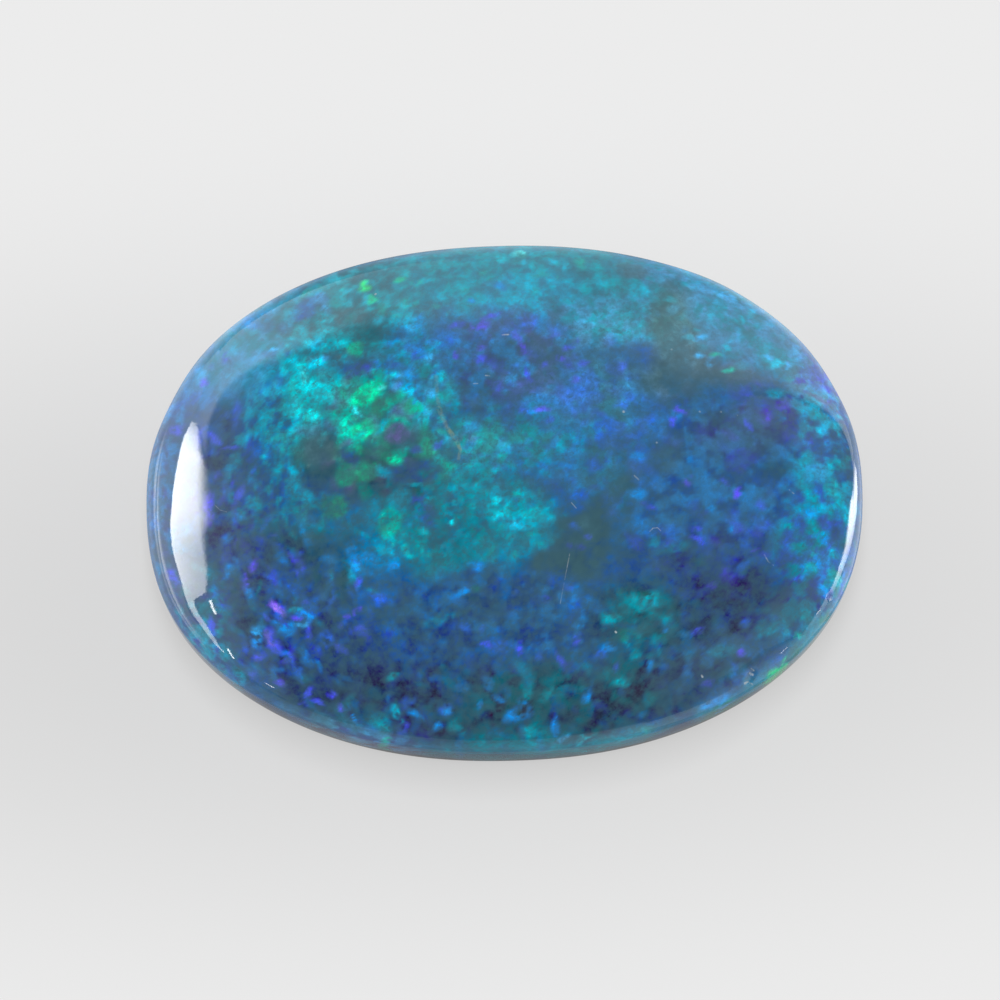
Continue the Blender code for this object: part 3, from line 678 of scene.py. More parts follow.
# x, y, half-length, half-width (mm), turn (degrees), gain of red, green and blue
washes = (
    (-0.3, -4.95, 2.4, 0.45, 0, 1.30, 0.54, 0.56),
    (-0.7, -4.15, 3.2, 0.6, -4, 1.00, 0.74, 0.72),
    (-0.9, -2.6, 1.9, 0.8, 0, 0.90, 0.80, 0.76),
    (-1.2, -0.9, 1.1, 0.6, -5, 1.10, 0.66, 0.71),
    (-2.2, 0.0, 0.8, 0.4, 0, 1.00, 0.50, 0.54),
    (-2.5, -1.4, 0.9, 0.45, -10, 0.45, 1.45, 1.20),
    (0.0, -1.45, 0.5, 0.3, 0, 0.50, 1.30, 1.30),
    (-3.5, -0.7, 0.5, 0.35, 0, 0.85, 1.50, 1.15),
    (-4.2, 1.2, 0.5, 0.8, -8, 0.80, 1.60, 1.30),
    (-3.5, 0.7, 0.45, 0.35, 0, 1.60, 1.30, 1.20),
    (1.4, 2.1, 1.2, 0.8, 0, 1.35, 1.40, 1.25),
    (4.7, 0.9, 0.8, 0.5, 0, 1.40, 0.82, 0.72),
    (4.4, -1.8, 1.4, 0.8, 10, 1.10, 0.73, 0.80),
    (-0.6, 0.8, 1.3, 0.45, 0, 1.10, 1.45, 1.15),
    (-0.9, 3.2, 1.0, 0.5, 0, 1.15, 1.25, 1.35),
    (2.8, 3.3, 1.2, 0.5, 0, 0.92, 1.30, 1.20),
    (-2.8, 2.8, 0.5, 0.4, 0, 1.50, 1.30, 1.15),
    (-3.9, -2.4, 0.8, 0.5, -30, 1.10, 1.25, 1.40),
    (-4.9, -0.7, 0.5, 0.4, 0, 1.10, 0.76, 0.84),
    (4.1, -3.5, 1.1, 0.4, 15, 1.30, 1.40, 1.15),
    (2.1, 0.6, 0.5, 1.8, 0, 1.05, 0.98, 0.70),
    (6.3, -0.9, 0.4, 0.5, 0, 1.20, 0.85, 0.82),
    (5.7, -2.1, 0.6, 0.5, 20, 1.20, 0.78, 0.82),
    (6.3, 0.8, 0.4, 0.5, 0, 1.20, 1.35, 1.45),
    (-2.8, 1.5, 0.6, 0.5, 0, 0.90, 1.30, 1.25),
    (-2.8, -1.9, 0.6, 0.6, 0, 1.10, 1.40, 1.35),
    (3.6, 2.7, 0.6, 0.4, 0, 1.10, 1.30, 1.40),
    (4.9, -2.8, 0.6, 0.4, 0, 1.00, 0.75, 0.80),
    (2.8, -4.2, 0.7, 0.35, 0, 1.10, 0.82, 0.72),
    (-3.5, -4.2, 0.7, 0.35, 0, 1.00, 0.86, 0.74),
    (-1.4, 1.8, 0.5, 0.7, 0, 1.15, 1.35, 1.05),
    (-0.7, -1.4, 0.5, 0.35, 0, 1.30, 0.80, 0.82),
    (-3.6, 2.1, 0.5, 0.6, 0, 0.70, 1.05, 0.90),
    (2.8, 1.4, 0.6, 0.5, 0, 1.20, 1.20, 1.15),
    (-6.2, 2.2, 0.5, 0.8, 25, 1.10, 1.45, 1.50),
    (-4.9, 2.2, 0.6, 0.5, 20, 1.00, 1.25, 1.25),
    (0.4, 3.9, 0.9, 0.5, 0, 1.05, 1.15, 1.32),
    (5.6, 1.4, 0.6, 0.4, 0, 1.05, 0.74, 0.85),
    (6.3, -1.5, 0.4, 0.4, 0, 1.00, 1.35, 1.15),
    (2.1, -2.8, 0.5, 0.4, 0, 1.00, 0.78, 0.80),
    (-2.1, -3.5, 0.6, 0.4, 0, 1.10, 1.25, 1.30),
)


# Where the mottling is stronger or weaker: x, y, half-length, half-width (mm), turn (degrees), strength
livelier_places = (
    (0.0, 4.45, 5.5, 0.9, 0, 0.60),
    (4.6, 3.2, 1.3, 0.9, -25, 0.65),
    (4.3, 0.2, 1.7, 1.4, 0, 0.70),
    (-3.4, 2.1, 0.9, 1.0, 0, 1.30),
    (-3.5, -2.4, 1.5, 1.3, 0, 1.20),
    (-0.4, 0.0, 1.2, 1.2, 0, 1.15),
    (-5.5, 2.3, 1.0, 1.7, -35, 0.50),
)
wall_strength = 0.35
shoulder_foot = 1.85
shoulder_rise = 0.6
wide_edge = 0.6


def liveliness(places):
    """How strongly the colour is mottled, fading from the shoulder down to the wall."""
    share = np.ones(len(places))
    for x, y, half_length, half_width, turn, aim in livelier_places:
        mask = oval_mask(places, x, y, half_length, half_width, turn, wide_edge)
        share += mask * (aim - share)
    above_wall = step_smoothly((places[:, 2] - shoulder_foot) / shoulder_rise)
    return share * (wall_strength + (1.0 - wall_strength) * above_wall)


# The zones drift and the edges of the patches fray: reach (mm), bumps per millimetre, seed
zone_drift = ((0.28, 1.1, 3), (0.12, 3.5, 7))
edge_fray = ((0.06, 4.0, 11), (0.03, 11.0, 17))
# Bumps per millimetre, layers, seed, and how much each finer layer keeps
blob_noise = (1.5, 2, 21, 0.65)
fleck_noise = (4.0, 2, 31, 0.65)
grain_noise = (5.0, 3, 41, 0.8)
# How the noises share out the fire of a field
fleck_level = 0.8
full_grain_level = 1.1
level_span = 1.1
fire_balance = 0.9
# Flakes: their sizes and strengths vary between these, and the window is in half-lengths
flake_seed = 5
flake_sizes = (0.6, 1.5)
flake_strengths = (0.4, 1.2)
flake_window = 3
# Patches: the small ones have softer and more broken edges
patch_window = 1.8
patch_margin = 0.1
small_half_width = 0.17
small_patch_edge = (0.6, 0.8)
large_patch_edge = (0.3, 0.4)
patch_cover = 0.85
# The mottling over all of it
fine_fire = 0.42
coarse_fire = 0.15
fire_level = -0.06
tone_swing = 0.08
dimmest_share = 0.72


def shift(places, shifts):
    return places + sum(reach * soft_noise(places, per_mm, seed) for reach, per_mm, seed in shifts)


def strip(places, x, reach):
    """Those of the places, sorted by x, that are no further than the reach from x."""
    return slice(*np.searchsorted(places[:, 0], (x - reach, x + reach)))


def paint(places):
    """Colour of each place: the broad fields, then the showers, the washes, the patches and the mottling."""
    order = np.argsort(places[:, 0])
    back = np.argsort(order)
    places = places[order]
    canvas = np.tile(linear("deep_blue"), (len(places), 1))
    drifted = shift(places, zone_drift)
    ragged = shift(places, edge_fray)
    blobs = layered_noise(places, *blob_noise)
    flecks = layered_noise(places, *fleck_noise)
    grain = layered_noise(places, *grain_noise)
    for x, y, half_length, half_width, turn, softness, ground, fire, share, coarse in colour_fields:
        mask = oval_mask(drifted, x, y, half_length, half_width, turn, softness)
        level = coarse * blobs[:, 0] + fleck_level * flecks[:, 0]
        level += (full_grain_level - coarse) * grain[:, 0]
        lit = step_smoothly((level - fire_balance * (0.5 - share)) / level_span + 0.5)
        colour = linear(ground) + lit[:, None] * (linear(fire) - linear(ground))
        canvas += mask[:, None] * (colour - canvas)

    chance = np.random.default_rng(flake_seed)
    for x, y, half_length, half_width, turn, count, *flakes in flake_showers:
        length, width, lie, spread, names, strength = flakes
        names = names.split()
        angle = math.radians(turn)
        for flake in range(count):
            reach, way = math.sqrt(chance.random()), chance.uniform(0.0, 2.0 * math.pi)
            u, v = half_length * reach * math.cos(way), half_width * reach * math.sin(way)
            flake_x = x + u * math.cos(angle) - v * math.sin(angle)
            flake_y = y + u * math.sin(angle) + v * math.cos(angle)
            size = chance.uniform(*flake_sizes)
            name = names[chance.integers(len(names))]
            flake_turn = lie + chance.uniform(-spread, spread)
            amount = min(strength * chance.uniform(*flake_strengths), 1.0)
            near = strip(places, flake_x, flake_window * length)
            mask = amount * oval_mask(
                ragged[near], flake_x, flake_y, size * length, size * width, flake_turn, wide_edge
            )
            canvas[near] += mask[:, None] * (linear(name) - canvas[near])

    for x, y, half_length, half_width, turn, *gains in washes:
        mask = oval_mask(drifted, x, y, half_length, half_width, turn, wide_edge)
        canvas *= 1.0 + mask[:, None] * (np.array(gains) - 1.0)

    for x, y, half_length, half_width, turn, name, strength in colour_patches:
        near = strip(places, x, patch_window * max(half_length, half_width) + patch_margin)
        softness, roughness = small_patch_edge if half_width < small_half_width else large_patch_edge
        mask = strength * oval_mask(ragged[near], x, y, half_length, half_width, turn, softness)
        mask *= step_smoothly(patch_cover + roughness * grain[near, 2])
        canvas[near] += mask[:, None] * (linear(name) - canvas[near])

    potch = linear("potch")
    lively = liveliness(places)[:, None]
    mottling = fine_fire * (flecks[:, 1:2] + grain[:, 1:2]) + coarse_fire * blobs[:, 1:2]
    fire = np.exp(lively * (mottling + fire_level))
    tone = np.exp(tone_swing * lively * (flecks[:, 2:] + grain[:, 2:]))
    canvas = np.clip(potch + (canvas - potch) * fire, dimmest_share * canvas, 1.0)
    return (canvas * tone)[back]


# The colour is raised in green and blue round the girdle, and the fire dies out down the wall in a
# wavy border (mm). The back is dark potch, a little mottled.
bright_girdle = 2.0
girdle_fade = 0.3
girdle_gain = (-0.12, 0.45, 0.55)
border_height = 1.15
border_wander = 0.22
border_fade = 0.45
border_noise = (0.9, 3, 51, 0.65)
potch_swing = 0.16
potch_noise = (1.6, 4, 61, 0.65)


def dress_sides(places, canvas):
    """The colours with the girdle brightened and the wall and back turned to potch."""
    girdle = np.exp(-(((places[:, 2] - bright_girdle) / girdle_fade) ** 2))[:, None]
    canvas = canvas * (1.0 + girdle * np.array(girdle_gain))
    border = border_height + border_wander * layered_noise(places, *border_noise)[:, 0]
    backing = step_smoothly((border - places[:, 2]) / border_fade)[:, None]
    shade = np.exp(potch_swing * layered_noise(places, *potch_noise)[:, :1])
    return canvas + backing * (linear("backing") * shade - canvas)


stone_places = np.empty(len(stone_mesh.vertices) * 3, np.float32)
stone_mesh.vertices.foreach_get("co", stone_places)
stone_places = stone_places.reshape(-1, 3).astype(np.float64) / MM
stone_facing = np.empty(len(stone_mesh.vertices) * 3, np.float32)
stone_mesh.vertex_normals.foreach_get("vector", stone_facing)
# Painted light: the colours of the sides, which the light from above only grazes, are made up to
# about 1.7 times brighter so that they look as strong to the eye as the top
grazed_light = 0.58
upward = np.clip(stone_facing.reshape(-1, 3)[:, 2:], 0.0, 1.0).astype(np.float64)
painted_side_light = 1.0 / (grazed_light + (1.0 - grazed_light) * upward)
paint_attribute = stone_mesh.color_attributes.new("opal_paint", "FLOAT_COLOR", "POINT")
painted_points = np.ones((len(stone_places), 4), np.float32)
painted_points[:, :3] = dress_sides(stone_places, paint(stone_places) * painted_side_light)
painted_points[:, 3] = liveliness(stone_places)
paint_attribute.data.foreach_set("color", painted_points.ravel())

opal = bpy.data.materials.new("polished_black_opal")
opal.use_nodes = True
opal_nodes, opal_links = opal.node_tree.nodes, opal.node_tree.links
opal_shader = opal_nodes["Principled BSDF"]
opal_refraction = 1.45
opal_shader.inputs["IOR"].default_value = opal_refraction

object_place = opal_nodes.new("ShaderNodeTexCoord")
in_millimetres = opal_nodes.new("ShaderNodeMapping")
in_millimetres.inputs["Scale"].default_value = (1.0 / MM, 1.0 / MM, 1.0 / MM)
opal_links.new(object_place.outputs["Object"], in_millimetres.inputs["Vector"])
place = in_millimetres.outputs["Vector"]


def join(value, socket):
    if isinstance(value, bpy.types.NodeSocket):
        socket.id_data.links.new(value, socket)
    else:
        socket.default_value = value


def maths(nodes, operation, first, second=0.0, third=0.0, clamp=False):
    node = nodes.new("ShaderNodeMath")
    node.operation = operation
    node.use_clamp = clamp
    for socket, value in zip(node.inputs, (first, second, third)):
        join(value, socket)
    return node.outputs["Value"]


def vector_maths(nodes, operation, first, second=(0.0, 0.0, 0.0)):
    node = nodes.new("ShaderNodeVectorMath")
    node.operation = operation
    join(first, node.inputs[0])
    join(second, node.inputs[1])
    return node


def mix_colour(factor, first, second):
    """Runs past the second colour where the factor is above one."""
    node = opal_nodes.new("ShaderNodeMix")
    node.data_type = "RGBA"
    node.clamp_factor = False
    node.clamp_result = True
    sockets = {socket.identifier: socket for socket in node.inputs}
    join(factor, sockets["Factor_Float"])
    join(first, sockets["A_Color"])
    join(second, sockets["B_Color"])
    return next(socket for socket in node.outputs if socket.identifier == "Result_Color")


def fine_noise(per_mm, layers, roughness, distortion=0.0, stretch=(1.0, 1.0, 1.0)):
    node = opal_nodes.new("ShaderNodeTexNoise")
    node.inputs["Scale"].default_value = per_mm
    node.inputs["Detail"].default_value = layers
    node.inputs["Roughness"].default_value = roughness
    node.inputs["Distortion"].default_value = distortion
    stretched = vector_maths(opal_nodes, "MULTIPLY", place, stretch).outputs["Vector"]
    opal_links.new(stretched, node.inputs["Vector"])
    return node.outputs["Fac"]


def rgba(name):
    return (*linear(name), 1.0)


# The fire breaks into crystal grains of about a tenth of a millimetre, and glitters where it is bright
grains_per_mm = 11.0
warps_per_mm = 7.0
warp_reach = 0.12
noise_gain = 1.5
grain_gain_step = 0.5
glitter_green = 0.25
glitter_green_span = 0.25
spark_contrast = 7.0
spark_level = 4.3
spark_strength = 0.6
paint_node = opal_nodes.new("ShaderNodeAttribute")
paint_node.attribute_name = "opal_paint"
grain_warp = opal_nodes.new("ShaderNodeTexNoise")
grain_warp.inputs["Scale"].default_value = warps_per_mm
opal_links.new(place, grain_warp.inputs["Vector"])
warp_step = vector_maths(opal_nodes, "MULTIPLY", grain_warp.outputs["Color"], (warp_reach,) * 3)
warped_place = vector_maths(opal_nodes, "ADD", place, warp_step.outputs["Vector"])
crystal_grains = opal_nodes.new("ShaderNodeTexVoronoi")
crystal_grains.inputs["Scale"].default_value = grains_per_mm
opal_links.new(warped_place.outputs["Vector"], crystal_grains.inputs["Vector"])
grain_parts = opal_nodes.new("ShaderNodeSeparateColor")
opal_links.new(crystal_grains.outputs["Color"], grain_parts.inputs["Color"])
grain_gain = maths(opal_nodes, "MULTIPLY", fine_noise(per_mm=13.0, layers=2.0, roughness=0.7), noise_gain)
grain_gain = maths(opal_nodes, "MULTIPLY_ADD", grain_parts.outputs["Red"], grain_gain_step, grain_gain)
grain_gain = maths(opal_nodes, "SUBTRACT", grain_gain, 1.0)
grain_gain = maths(opal_nodes, "MULTIPLY_ADD", grain_gain, paint_node.outputs["Alpha"], 1.0)
grained = mix_colour(grain_gain, rgba("potch"), paint_node.outputs["Color"])
paint_parts = opal_nodes.new("ShaderNodeSeparateColor")
opal_links.new(paint_node.outputs["Color"], paint_parts.inputs["Color"])
bright = maths(opal_nodes, "SUBTRACT", paint_parts.outputs["Green"], glitter_green)
bright = maths(opal_nodes, "DIVIDE", bright, glitter_green_span, clamp=True)
spark = fine_noise(per_mm=11.0, layers=3.0, roughness=0.75, distortion=0.8)
spark = maths(opal_nodes, "MULTIPLY_ADD", spark, spark_contrast, -spark_level, clamp=True)
spark = maths(opal_nodes, "MULTIPLY", spark, spark_strength)
spark = maths(opal_nodes, "MULTIPLY", spark, paint_node.outputs["Alpha"])
glittering = mix_colour(maths(opal_nodes, "MULTIPLY", bright, spark), grained, rgba("glint"))


# Wear on the polish: hair scratches and specks of dust, and four painted glints on the chips, each a
# short straight stroke seen in plan
stroke_sockets = (("Place", "Vector"), ("Start", "Vector"), ("Run", "Vector"), ("Half Width", "Float"))
stroke_edge = 1.5


def build_stroke_group():
    group = bpy.data.node_groups.new("stroke", "ShaderNodeTree")
    for name, kind in stroke_sockets:
        group.interface.new_socket(name, in_out="INPUT", socket_type="NodeSocket" + kind)
    group.interface.new_socket("Mask", in_out="OUTPUT", socket_type="NodeSocketFloat")
    nodes = group.nodes
    given = nodes.new("NodeGroupInput").outputs
    result = nodes.new("NodeGroupOutput").inputs["Mask"]
    run = given["Run"]
    away = vector_maths(nodes, "SUBTRACT", given["Place"], given["Start"]).outputs["Vector"]
    along = vector_maths(nodes, "DOT_PRODUCT", away, run).outputs["Value"]
    squared = vector_maths(nodes, "DOT_PRODUCT", run, run).outputs["Value"]
    share = maths(nodes, "DIVIDE", along, squared, clamp=True)
    nearest = vector_maths(nodes, "SCALE", run)
    join(share, nearest.inputs["Scale"])
    gap = vector_maths(nodes, "SUBTRACT", away, nearest.outputs["Vector"]).outputs["Vector"]
    distance = vector_maths(nodes, "LENGTH", gap).outputs["Value"]
    half_widths = maths(nodes, "DIVIDE", distance, given["Half Width"])
    join(maths(nodes, "SUBTRACT", stroke_edge, half_widths, clamp=True), result)
    return group


stroke_group = build_stroke_group()
plan_of_place = vector_maths(opal_nodes, "MULTIPLY", place, (1.0, 1.0, 0.0)).outputs["Vector"]


def stroke_mask(strokes):
    total = 0.0
    for start_x, start_y, end_x, end_y, half_width, strength in strokes:
        node = opal_nodes.new("ShaderNodeGroup")
        node.node_tree = stroke_group
        join(plan_of_place, node.inputs["Place"])
        node.inputs["Start"].default_value = (start_x, start_y, 0.0)
        node.inputs["Run"].default_value = (end_x - start_x, end_y - start_y, 0.0)
        node.inputs["Half Width"].default_value = half_width
        stroke = maths(opal_nodes, "MULTIPLY", node.outputs["Mask"], strength)
        total = maths(opal_nodes, "MAXIMUM", stroke, total)
    return total


# Start and end (mm), half-width (mm), strength
scratches_dust_and_chip_glints = (
    (1.23, -1.45, 1.13, -1.90, 0.009, 0.26),
    (1.13, -1.90, 1.02, -2.41, 0.009, 0.20),
    (1.29, -0.45, 1.38, -0.56, 0.009, 0.30),
    (2.53, 0.07, 2.61, -0.01, 0.014, 0.30),
    (2.80, -1.03, 2.86, -0.97, 0.008, 0.42),
    (2.86, -0.97, 2.95, -0.96, 0.008, 0.42),
    (2.95, -0.96, 3.01, -1.02, 0.008, 0.36),
    (5.02, -1.47, 5.09, -1.60, 0.012, 0.30),
    (5.09, -1.60, 5.19, -1.67, 0.012, 0.22),
    (5.55, -0.18, 5.63, -0.25, 0.014, 0.35),
    (-5.65, -0.18, -5.55, -0.29, 0.007, 0.22),
    (-5.55, -0.29, -5.42, -0.34, 0.007, 0.28),
    (0.04, 2.99, 0.16, 2.99, 0.014, 0.50),
    (-0.31, 2.15, -0.23, 2.14, 0.013, 0.35),
    (-0.55, 1.99, -0.47, 1.99, 0.012, 0.30),
    (2.08, -2.96, 2.09, -2.97, 0.017, 0.90),
    (3.74, -3.77, 3.75, -3.79, 0.018, 0.85),
    (2.35, 1.36, 2.36, 1.36, 0.022, 0.80),
    (-2.42, 3.96, -2.41, 3.97, 0.017, 0.60),
    (3.84, 1.36, 3.85, 1.36, 0.016, 0.50),
    (4.25, 1.36, 4.26, 1.36, 0.016, 0.45),
    (4.56, 1.29, 4.57, 1.29, 0.014, 0.45),
    (2.98, 0.73, 2.99, 0.73, 0.016, 0.45),
    (3.33, 2.64, 3.34, 2.64, 0.016, 0.45),
    # Painted glints: these last four pale strokes stand in for light caught by the chips on the front right
    # shoulder
    (4.71, -3.61, 4.76, -3.64, 0.012, 0.45),
    (4.69, -3.69, 4.74, -3.71, 0.020, 0.75),
    (4.58, -3.87, 4.64, -3.84, 0.018, 0.75),
    (4.64, -3.84, 4.73, -3.87, 0.012, 0.55),
)
tan_hair = (
    (-1.28, 2.16, -1.24, 1.52, 0.034, 0.26),
    (-1.24, 1.52, -1.10, 1.13, 0.042, 0.38),
    (-1.10, 1.13, -0.92, 0.86, 0.040, 0.60),
    (-0.92, 0.86, -0.84, 0.66, 0.034, 0.55),
    (-0.84, 0.66, -0.88, 0.48, 0.030, 0.38),
)
# Pale colour of the dust specks and of the painted glints on the chips
dust_and_glint_colour = (0.52, 0.58, 0.60, 1.0)
tan_colour = (0.23, 0.29, 0.20, 1.0)
mark_breakup_contrast = 3.4
mark_breakup_level = 1.1
mark_breakup = fine_noise(per_mm=9.0, layers=2.0, roughness=0.7)
mark_breakup = maths(opal_nodes, "MULTIPLY_ADD", mark_breakup, mark_breakup_contrast, -mark_breakup_level, clamp=True)
hair_mask = maths(opal_nodes, "MULTIPLY", stroke_mask(tan_hair), mark_breakup)
dust_and_glint_mask = maths(opal_nodes, "MULTIPLY", stroke_mask(scratches_dust_and_chip_glints), mark_breakup)
worn_and_glinting = mix_colour(hair_mask, glittering, tan_colour)
worn_and_glinting = mix_colour(dust_and_glint_mask, worn_and_glinting, dust_and_glint_colour)
opal_links.new(worn_and_glinting, opal_shader.inputs["Base Color"])

# The polish is a little uneven, and the back is only ground, with the marks of the wheel across it
ground_top = 0.64
ground_top_fade = 0.4
finest_polish = 0.015
polish_swing = 0.03
dust_and_glint_roughness = 0.3
finest_grinding = 0.25
grinding_swing = 0.25
along_the_wheel = (0.25, 5.0, 1.0)
stone_height_parts = opal_nodes.new("ShaderNodeSeparateXYZ")
opal_links.new(place, stone_height_parts.inputs["Vector"])
back_share = maths(opal_nodes, "SUBTRACT", ground_top, stone_height_parts.outputs["Z"])
back_share = maths(opal_nodes, "DIVIDE", back_share, ground_top_fade, clamp=True)
uneven_polish = fine_noise(per_mm=1.4, layers=3.0, roughness=0.6)
polish_roughness = maths(opal_nodes, "MULTIPLY_ADD", uneven_polish, polish_swing, finest_polish)
polish_roughness = maths(opal_nodes, "MULTIPLY_ADD", dust_and_glint_mask, dust_and_glint_roughness, polish_roughness)
wheel_marks = fine_noise(per_mm=5.0, layers=3.0, roughness=0.65, stretch=along_the_wheel)
ground_roughness = maths(opal_nodes, "MULTIPLY_ADD", wheel_marks, grinding_swing, finest_grinding)
roughness_gap = maths(opal_nodes, "SUBTRACT", ground_roughness, polish_roughness)
roughness = maths(opal_nodes, "MULTIPLY_ADD", roughness_gap, back_share, polish_roughness)
opal_links.new(roughness, opal_shader.inputs["Roughness"])

# Heights in millimetres: a fine ripple left by the lap, and the wheel marks on the back
ripple_height = 0.0005
wheel_mark_height = 0.012
lap_ripple = fine_noise(per_mm=7.0, layers=2.0, roughness=0.6)
lap_ripple = maths(opal_nodes, "MULTIPLY", lap_ripple, ripple_height)
wheel_depth = maths(opal_nodes, "MULTIPLY", back_share, wheel_mark_height)
surface_height = maths(opal_nodes, "MULTIPLY_ADD", wheel_marks, wheel_depth, lap_ripple)
relief = opal_nodes.new("ShaderNodeBump")
relief.inputs["Distance"].default_value = MM
opal_links.new(surface_height, relief.inputs["Height"])
opal_links.new(relief.outputs["Normal"], opal_shader.inputs["Normal"])

stone_mesh.materials.append(opal)
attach(stone, "root")
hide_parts("cabochon")


# The ground: a plain pale sheet lit from above, which to the eye also glows, a painted glow that
# stands in for light through it from below. A broad band across the middle is a painted soft shadow,
# darker in both. The polish sees a painted glow of its own, with painted shade close to the stone and
# bright out to the sides.
floor_half = 0.6
sheet_paleness = 0.79
painted_shadow_depth = 0.19
painted_shadow_middle = -1.5 * MM
painted_shadow_reach = 11.0 * MM
painted_shadow_narrowing = 0.35
painted_shadow_side = -2.0 * MM
painted_glow_share = 0.80
level_light = 1.07
shaded_reach = (1.03, 1.75)
shaded_mirrored = 0.37
brightest_mirrored = 3.0
# Share of the way from the front of the stone round to its back, mirrored brightness
mirrored_sides = (
    (0.0, 0.6), (0.06, 0.75), (0.115, 0.7), (0.2, 1.1), (0.275, 1.4), (0.35, 2.0),
    (0.5, 2.4), (0.75, 2.0), (0.885, 2.1), (0.935, 1.3), (0.97, 0.7), (1.0, 1.1),
)

floor_mesh = bpy.data.meshes.new("floor")
floor_shape = bmesh.new()
bmesh.ops.create_grid(floor_shape, x_segments=2, y_segments=2, size=floor_half)
floor_shape.to_mesh(floor_mesh)
floor_shape.free()
floor = bpy.data.objects.new("floor", floor_mesh)
bpy.context.scene.collection.objects.link(floor)
floor_material = bpy.data.materials.new("pale_sheet")
floor_material.use_nodes = True
floor_nodes, floor_links = floor_material.node_tree.nodes, floor_material.node_tree.links
floor_shader = floor_nodes["Principled BSDF"]
floor_shader.inputs["Roughness"].default_value = 1.0
floor_shader.inputs["Specular IOR Level"].default_value = 0.0
floor_shader.inputs["Emission Strength"].default_value = 1.0

sheet_place = floor_nodes.new("ShaderNodeTexCoord")
sheet_parts = floor_nodes.new("ShaderNodeSeparateXYZ")
floor_links.new(sheet_place.outputs["Object"], sheet_parts.inputs["Vector"])
seen_by = floor_nodes.new("ShaderNodeLightPath")


def smooth_range(nodes, value, low, high, low_result, high_result):
    node = nodes.new("ShaderNodeMapRange")
    node.interpolation_type = "SMOOTHERSTEP"
    for socket, setting in zip(node.inputs, (value, low, high, low_result, high_result)):
        join(setting, socket)
    return node.outputs["Result"]


# Painted shadow: the sheet's colour and glow are made darker in a broad soft band round the middle
painted_shadow_place = (painted_shadow_side, painted_shadow_middle, 0.0)
from_painted_shadow = vector_maths(floor_nodes, "SUBTRACT", sheet_place.outputs["Object"], painted_shadow_place)
from_painted_shadow = vector_maths(floor_nodes, "MULTIPLY", from_painted_shadow.outputs["Vector"], (painted_shadow_narrowing, 1.0, 1.0))
from_painted_shadow = vector_maths(floor_nodes, "LENGTH", from_painted_shadow.outputs["Vector"]).outputs["Value"]
painted_shadow_paleness = sheet_paleness * (1.0 - painted_shadow_depth)
paleness = smooth_range(floor_nodes, from_painted_shadow, 0.0, painted_shadow_reach, painted_shadow_paleness, sheet_paleness)
unmirrored = maths(floor_nodes, "SUBTRACT", 1.0, seen_by.outputs["Is Glossy Ray"])
lit_above = maths(floor_nodes, "MULTIPLY_ADD", seen_by.outputs["Is Camera Ray"], -painted_glow_share, unmirrored)
floor_links.new(maths(floor_nodes, "MULTIPLY", paleness, lit_above), floor_shader.inputs["Base Color"])
# Painted glow: to the eye the sheet also glows, as if lit through from below, though no lamp is there
painted_floor_glow = maths(floor_nodes, "MULTIPLY", seen_by.outputs["Is Camera Ray"], painted_glow_share * level_light)
painted_floor_glow = maths(floor_nodes, "MULTIPLY", painted_floor_glow, paleness)

# To the polish alone the sheet glows, with painted shade close to the stone and brighter out to the sides
oval_x = maths(floor_nodes, "DIVIDE", sheet_parts.outputs["X"], 0.5 * stone_length)
oval_y = maths(floor_nodes, "DIVIDE", sheet_parts.outputs["Y"], 0.5 * stone_width)
oval_x_squared = maths(floor_nodes, "MULTIPLY", oval_x, oval_x)
oval_reach = maths(floor_nodes, "SQRT", maths(floor_nodes, "MULTIPLY_ADD", oval_y, oval_y, oval_x_squared))
beyond_shade = smooth_range(floor_nodes, oval_reach, *shaded_reach, shaded_mirrored, 1.0)
round_share = maths(floor_nodes, "DIVIDE", oval_y, oval_reach)
round_share = maths(floor_nodes, "MULTIPLY_ADD", round_share, 0.5, 0.5)
side_glow = floor_nodes.new("ShaderNodeValToRGB")
while len(side_glow.color_ramp.elements) < len(mirrored_sides):
    side_glow.color_ramp.elements.new(1.0)
for stop, (share, brightness) in zip(side_glow.color_ramp.elements, mirrored_sides):
    stop.position = share
    stop.color = (*(brightness / brightest_mirrored,) * 3, 1.0)
floor_links.new(round_share, side_glow.inputs["Fac"])
far_glow = maths(floor_nodes, "MULTIPLY", side_glow.outputs["Color"], brightest_mirrored)
mirrored_glow = maths(floor_nodes, "MULTIPLY", far_glow, beyond_shade)
mirrored_glow = maths(floor_nodes, "MULTIPLY", mirrored_glow, seen_by.outputs["Is Glossy Ray"])
floor_links.new(maths(floor_nodes, "ADD", painted_floor_glow, mirrored_glow), floor_shader.inputs["Emission Color"])
floor_mesh.materials.append(floor_material)


# The light. One soft lamp hangs overhead, which lights the stone but isn't mirrored in it.
def point_at(thing, target):
    thing.rotation_mode = "QUATERNION"
    thing.rotation_quaternion = (target - thing.location).to_track_quat("-Z", "Y")


lamp_width = 0.18
lamp_depth = 0.50
lamp_height = 1.0
lamp_back = 0.06
lamp_light = 0.92
lamp_data = bpy.data.lights.new("overhead_lamp", "AREA")
lamp_data.shape = "RECTANGLE"
lamp_data.size = lamp_width
lamp_data.size_y = lamp_depth
lamp_data.energy = lamp_light * (math.pi * lamp_height) ** 2
lamp = bpy.data.objects.new("overhead_lamp", lamp_data)
lamp.location = (0.0, lamp_back, lamp_height)
lamp.visible_glossy = False
lamp.visible_camera = False
bpy.context.scene.collection.objects.link(lamp)

